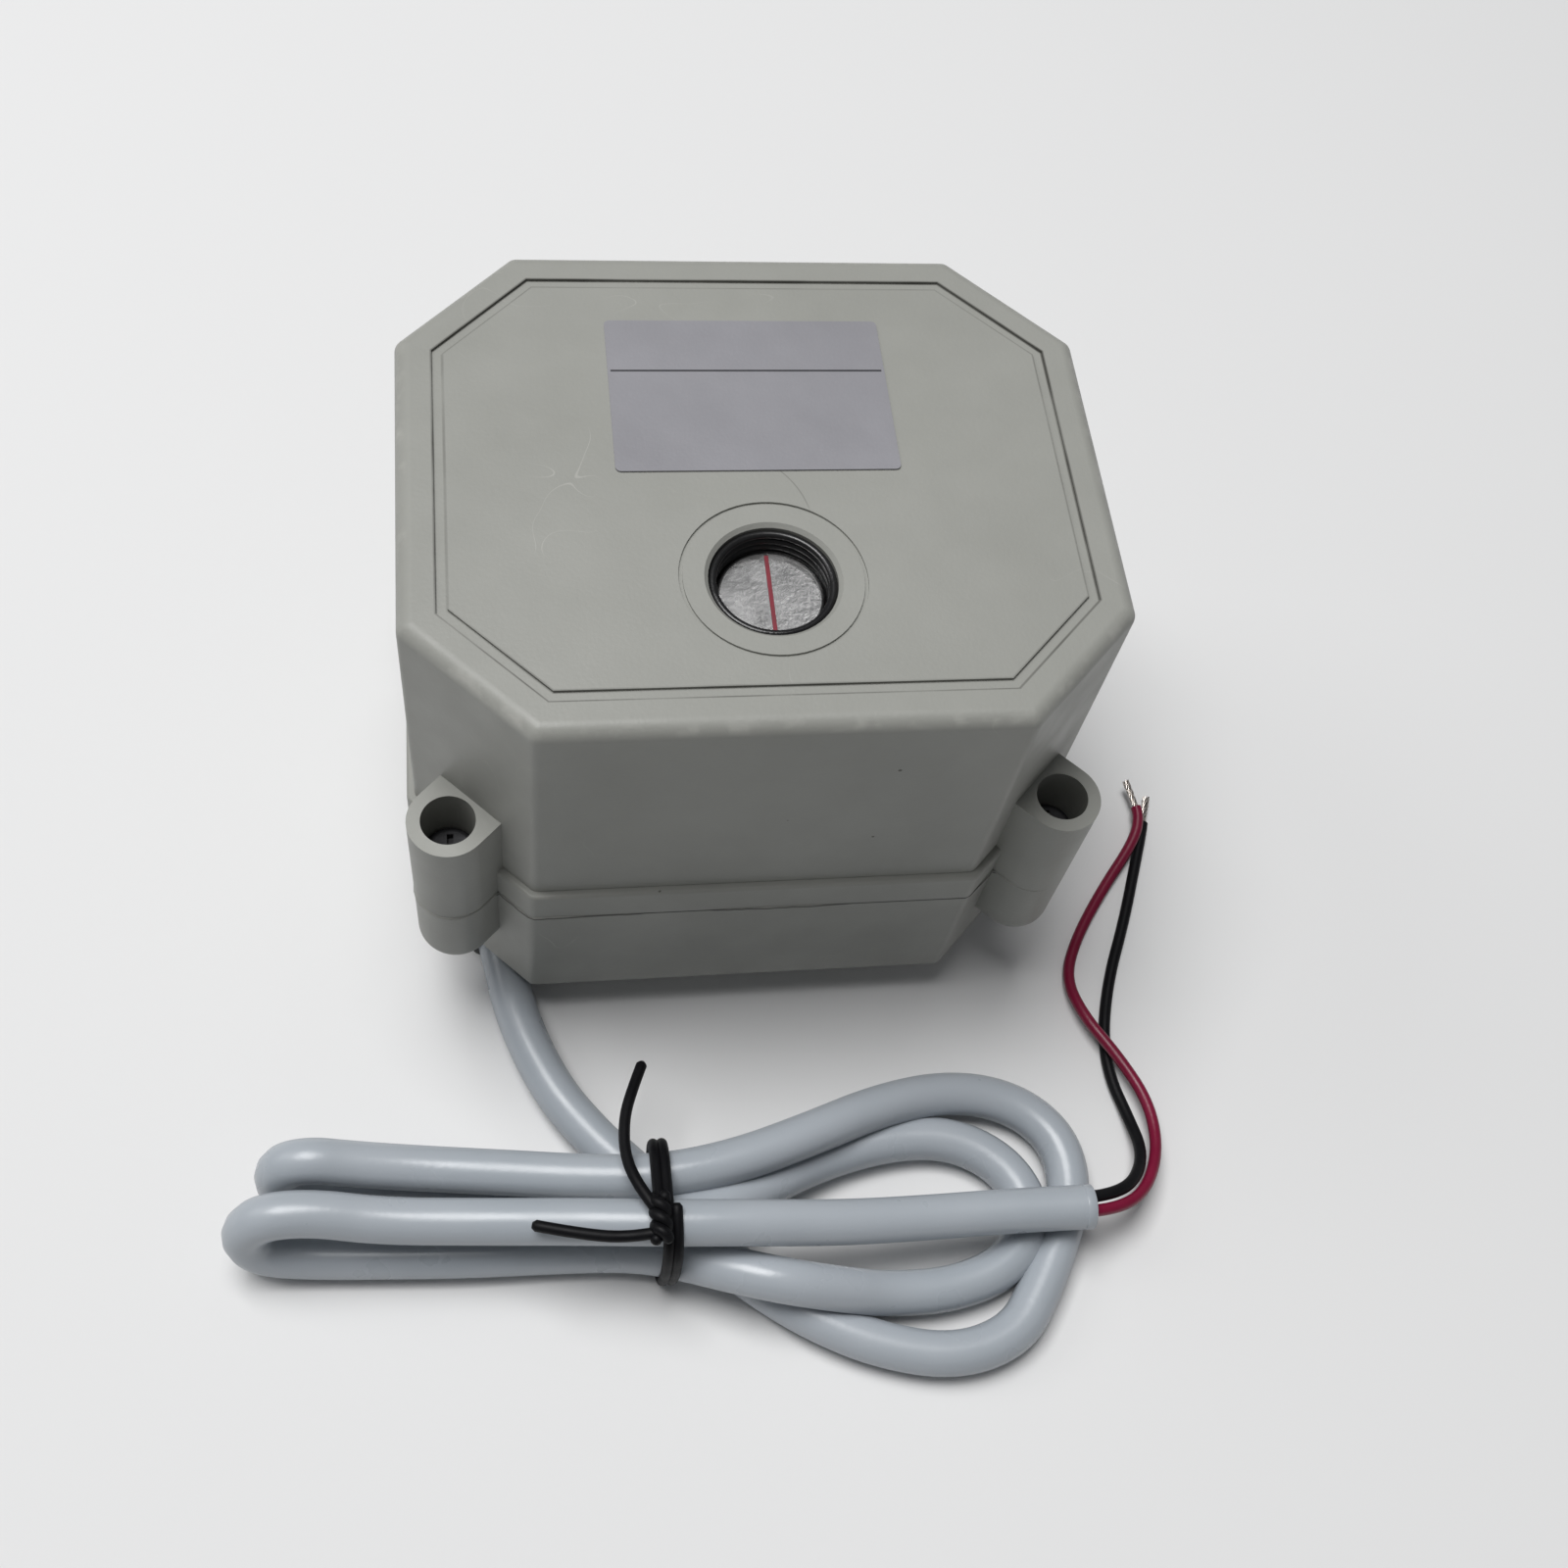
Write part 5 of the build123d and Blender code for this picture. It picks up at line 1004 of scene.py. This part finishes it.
# ---- Casing details ------------------------------------------------------------------
class FlashTree(GrowingTree):
    """Grows an uneven ridge of moulding flash along a line."""

    title = "moulding_flash"
    inputs = (
        ("Step", "NodeSocketFloat", 0.0008),
        ("Radius", "NodeSocketFloat", 0.00012),
        ("Patch Scale", "NodeSocketFloat", 60.0),
        ("Material", "NodeSocketMaterial", None),
    )
    patch_edge = (0.5, 0.62)
    patch_size = (0.3, 2.2)
    ragged_scale = 900.0
    ragged_edge = (0.3, 0.7)
    ragged_size = (0.7, 1.25)

    def fill(self) -> None:
        """Lays out the nodes: long patches of thick and thin, with a ragged edge."""
        sheet, given = self.sheet, self.given
        line = sheet.add("GeometryNodeMeshToCurve", {"Mesh": given["Geometry"]}).outputs[0]
        inputs = {"Curve": line, "Length": given["Step"]}
        line = sheet.add("GeometryNodeResampleCurve", inputs, mode="LENGTH").outputs[0]
        place = sheet.add("GeometryNodeInputPosition").outputs[0]
        patches = sheet.noise(place, given["Patch Scale"], 2.0)
        patch = sheet.remap(patches, *self.patch_edge, self.patch_size)
        edges = sheet.noise(place, self.ragged_scale, 2.0)
        ragged = sheet.remap(edges, *self.ragged_edge, self.ragged_size)
        self.sweep(line, "Radius", Scale=sheet.math("MULTIPLY", patch, ragged))


@dataclass
class CasingTrim:
    """Moulding flash where the casing's two halves meet; sizes are millimetres."""

    width: float = 72.0
    depth: float = 60.1
    chamfer: float = 12.2
    rim_step: float = 0.85
    boss_width: float = 8.4
    boss_reach: float = 3.3
    seam_z: float = 24.7
    flash_radius: float = 0.09
    flash_step: float = 0.7
    nose_steps: int = 10

    def outline(self) -> list[Vector]:
        """Outer line of the casing at the parting line, bosses included."""
        half_x = self.width / 2 + self.rim_step
        half_y = self.depth / 2 + self.rim_step
        reach = (self.width + self.depth) / 2 - self.chamfer + self.rim_step * math.sqrt(2)
        middle = Vector(((self.width - self.chamfer) / 2, (self.depth - self.chamfer) / 2))
        points = []
        for quarter, (sx, sy) in enumerate(((1, 1), (-1, 1), (-1, -1), (1, -1))):
            out = Vector((sx, sy)).normalized()
            along = Vector((-out.y, out.x))
            centre = Vector((middle.x * sx, middle.y * sy)) + out * self.boss_reach
            foot = Vector((middle.x * sx, middle.y * sy)) + out * self.rim_step
            half = self.boss_width / 2
            side_corner = Vector((half_x * sx, (reach - half_x) * sy))
            end_corner = Vector(((reach - half_y) * sx, half_y * sy))
            corners = [side_corner, end_corner] if quarter % 2 == 0 else [end_corner, side_corner]
            points.append(corners[0])
            points.append(foot - along * half)
            for step in range(self.nose_steps + 1):
                angle = math.pi * (step / self.nose_steps - 0.5)
                across = out * half * math.cos(angle)
                points.append(centre + across + along * half * math.sin(angle))
            points.append(foot + along * half)
            points.append(corners[1])
        return metres([(point.x, point.y, self.seam_z) for point in points])

    def build(self, wardrobe: Wardrobe) -> None:
        """Builds the flash and sets it on the housing.

        Args:
            wardrobe: The finishes.
        """
        tree = FlashTree()
        names = tree.sockets
        values = {
            names["Step"]: self.flash_step * MM,
            names["Radius"]: self.flash_radius * MM,
            names["Material"]: wardrobe.materials["casing_plastic"],
        }
        flash = grown("parting_flash", self.outline(), True, tree.tree, values)
        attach(flash, "housing")
        LOG.info("built parting_flash with %d faces", len(flash.data.polygons))


# ---- Studio --------------------------------------------------------------------------
@dataclass
class Studio:
    """Pale floor, soft lights and the camera."""

    location: Point = (-27.0, -114.3, 200.5)    # millimetres
    forward: Point = (0.157, 0.484, -0.861)
    up: Point = (0.036, 0.868, 0.495)
    lens: float = 41.13
    sensor: float = 36.0
    clip: Span = (0.01, 10.0)
    floor_size: float = 6.0
    floor_tone: Colour = (0.73, 0.73, 0.73)
    floor_drift: Colour = (0.74, 0.74, 0.74)
    aim: Point = (0.0, -0.02, 0.02)
    lamps: tuple[tuple[str, Point, float, float], ...] = (
        ("key_light", (-0.22, 0.14, 1.10), 0.60, 12.4),
        ("side_light", (-0.90, 0.35, 0.80), 0.50, 1.6),
        ("glint_light", (0.27, 0.60, 1.10), 0.12, 0.10),
    )
    sky_colour: tuple[float, ...] = (0.95, 0.97, 1.0, 1.0)
    sky_strength: float = 0.14

    def floor(self) -> None:
        """A pale floor with a faint drift of tone."""
        half = self.floor_size / 2
        sheet = bmesh.new()
        square = ((-1, -1), (1, -1), (1, 1), (-1, 1))
        sheet.faces.new([sheet.verts.new((x * half, y * half, 0.0)) for x, y in square])
        item = mesh_object("studio_floor", sheet, smooth=False)
        paper = Finish(
            "studio_paper", self.floor_tone, self.floor_drift, 0.9, 0.05, drift_scale=4.0,
            specular=0.1, grain_height=0.0, wave_height=0.0,
        )
        item.data.materials.append(paper.make())
        item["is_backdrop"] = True

    def lamp(self, name: str, place: Point, size: float, power: float) -> None:
        """A square soft light aimed at the object.

        Args:
            name: The light's name.
            place: Where it hangs, in metres.
            size: Side of the square, in metres.
            power: Its power, in watts.
        """
        light = bpy.data.lights.new(name, "AREA")
        light.shape = "SQUARE"
        light.size = size
        light.energy = power
        item = bpy.data.objects.new(name, light)
        item.location = place
        aim = Vector(self.aim) - Vector(place)
        item.rotation_euler = aim.to_track_quat("-Z", "Y").to_euler()
        bpy.context.scene.collection.objects.link(item)

    def camera(self) -> None:
        """The camera at the viewing angle."""
        data = bpy.data.cameras.new("studio_camera")
        data.lens = self.lens
        data.sensor_width = self.sensor
        data.clip_start, data.clip_end = self.clip
        back = -Vector(self.forward).normalized()
        right = Vector(self.up).cross(back).normalized()
        top = back.cross(right)
        item = bpy.data.objects.new("studio_camera", data)
        turn = Matrix((right, top, back)).transposed().to_4x4()
        item.matrix_world = Matrix.Translation(Vector(self.location) * MM) @ turn
        bpy.context.scene.collection.objects.link(item)
        bpy.context.scene.camera = item

    def build(self) -> None:
        """Sets up the floor, lights, sky and camera."""
        self.camera()
        self.floor()
        for name, place, size, power in self.lamps:
            self.lamp(name, place, size, power)
        world = bpy.data.worlds.new("studio_sky")
        world.use_nodes = True
        sheet = NodeSheet(world.node_tree)
        inputs = {"Color": self.sky_colour, "Strength": self.sky_strength}
        sky = sheet.add("ShaderNodeBackground", inputs)
        sheet.add("ShaderNodeOutputWorld", {"Surface": sky.outputs[0]})
        bpy.context.scene.world = world
        bpy.context.scene.view_settings.view_transform = "Standard"


def corners() -> list[list[float]]:
    """The shown object's two corners as plain lists."""
    return [list(corner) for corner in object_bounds()]


def main() -> None:
    """Builds the studio, the finishes and every visible piece."""
    logging.basicConfig(level=logging.INFO, format="%(name)s: %(message)s")
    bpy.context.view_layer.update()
    Studio().build()
    wardrobe = Wardrobe()
    wardrobe.dress_frame()
    CableGroup().build(wardrobe)
    CasingTrim().build(wardrobe)
    bpy.context.view_layer.update()


if __name__ == "__main__":
    main()
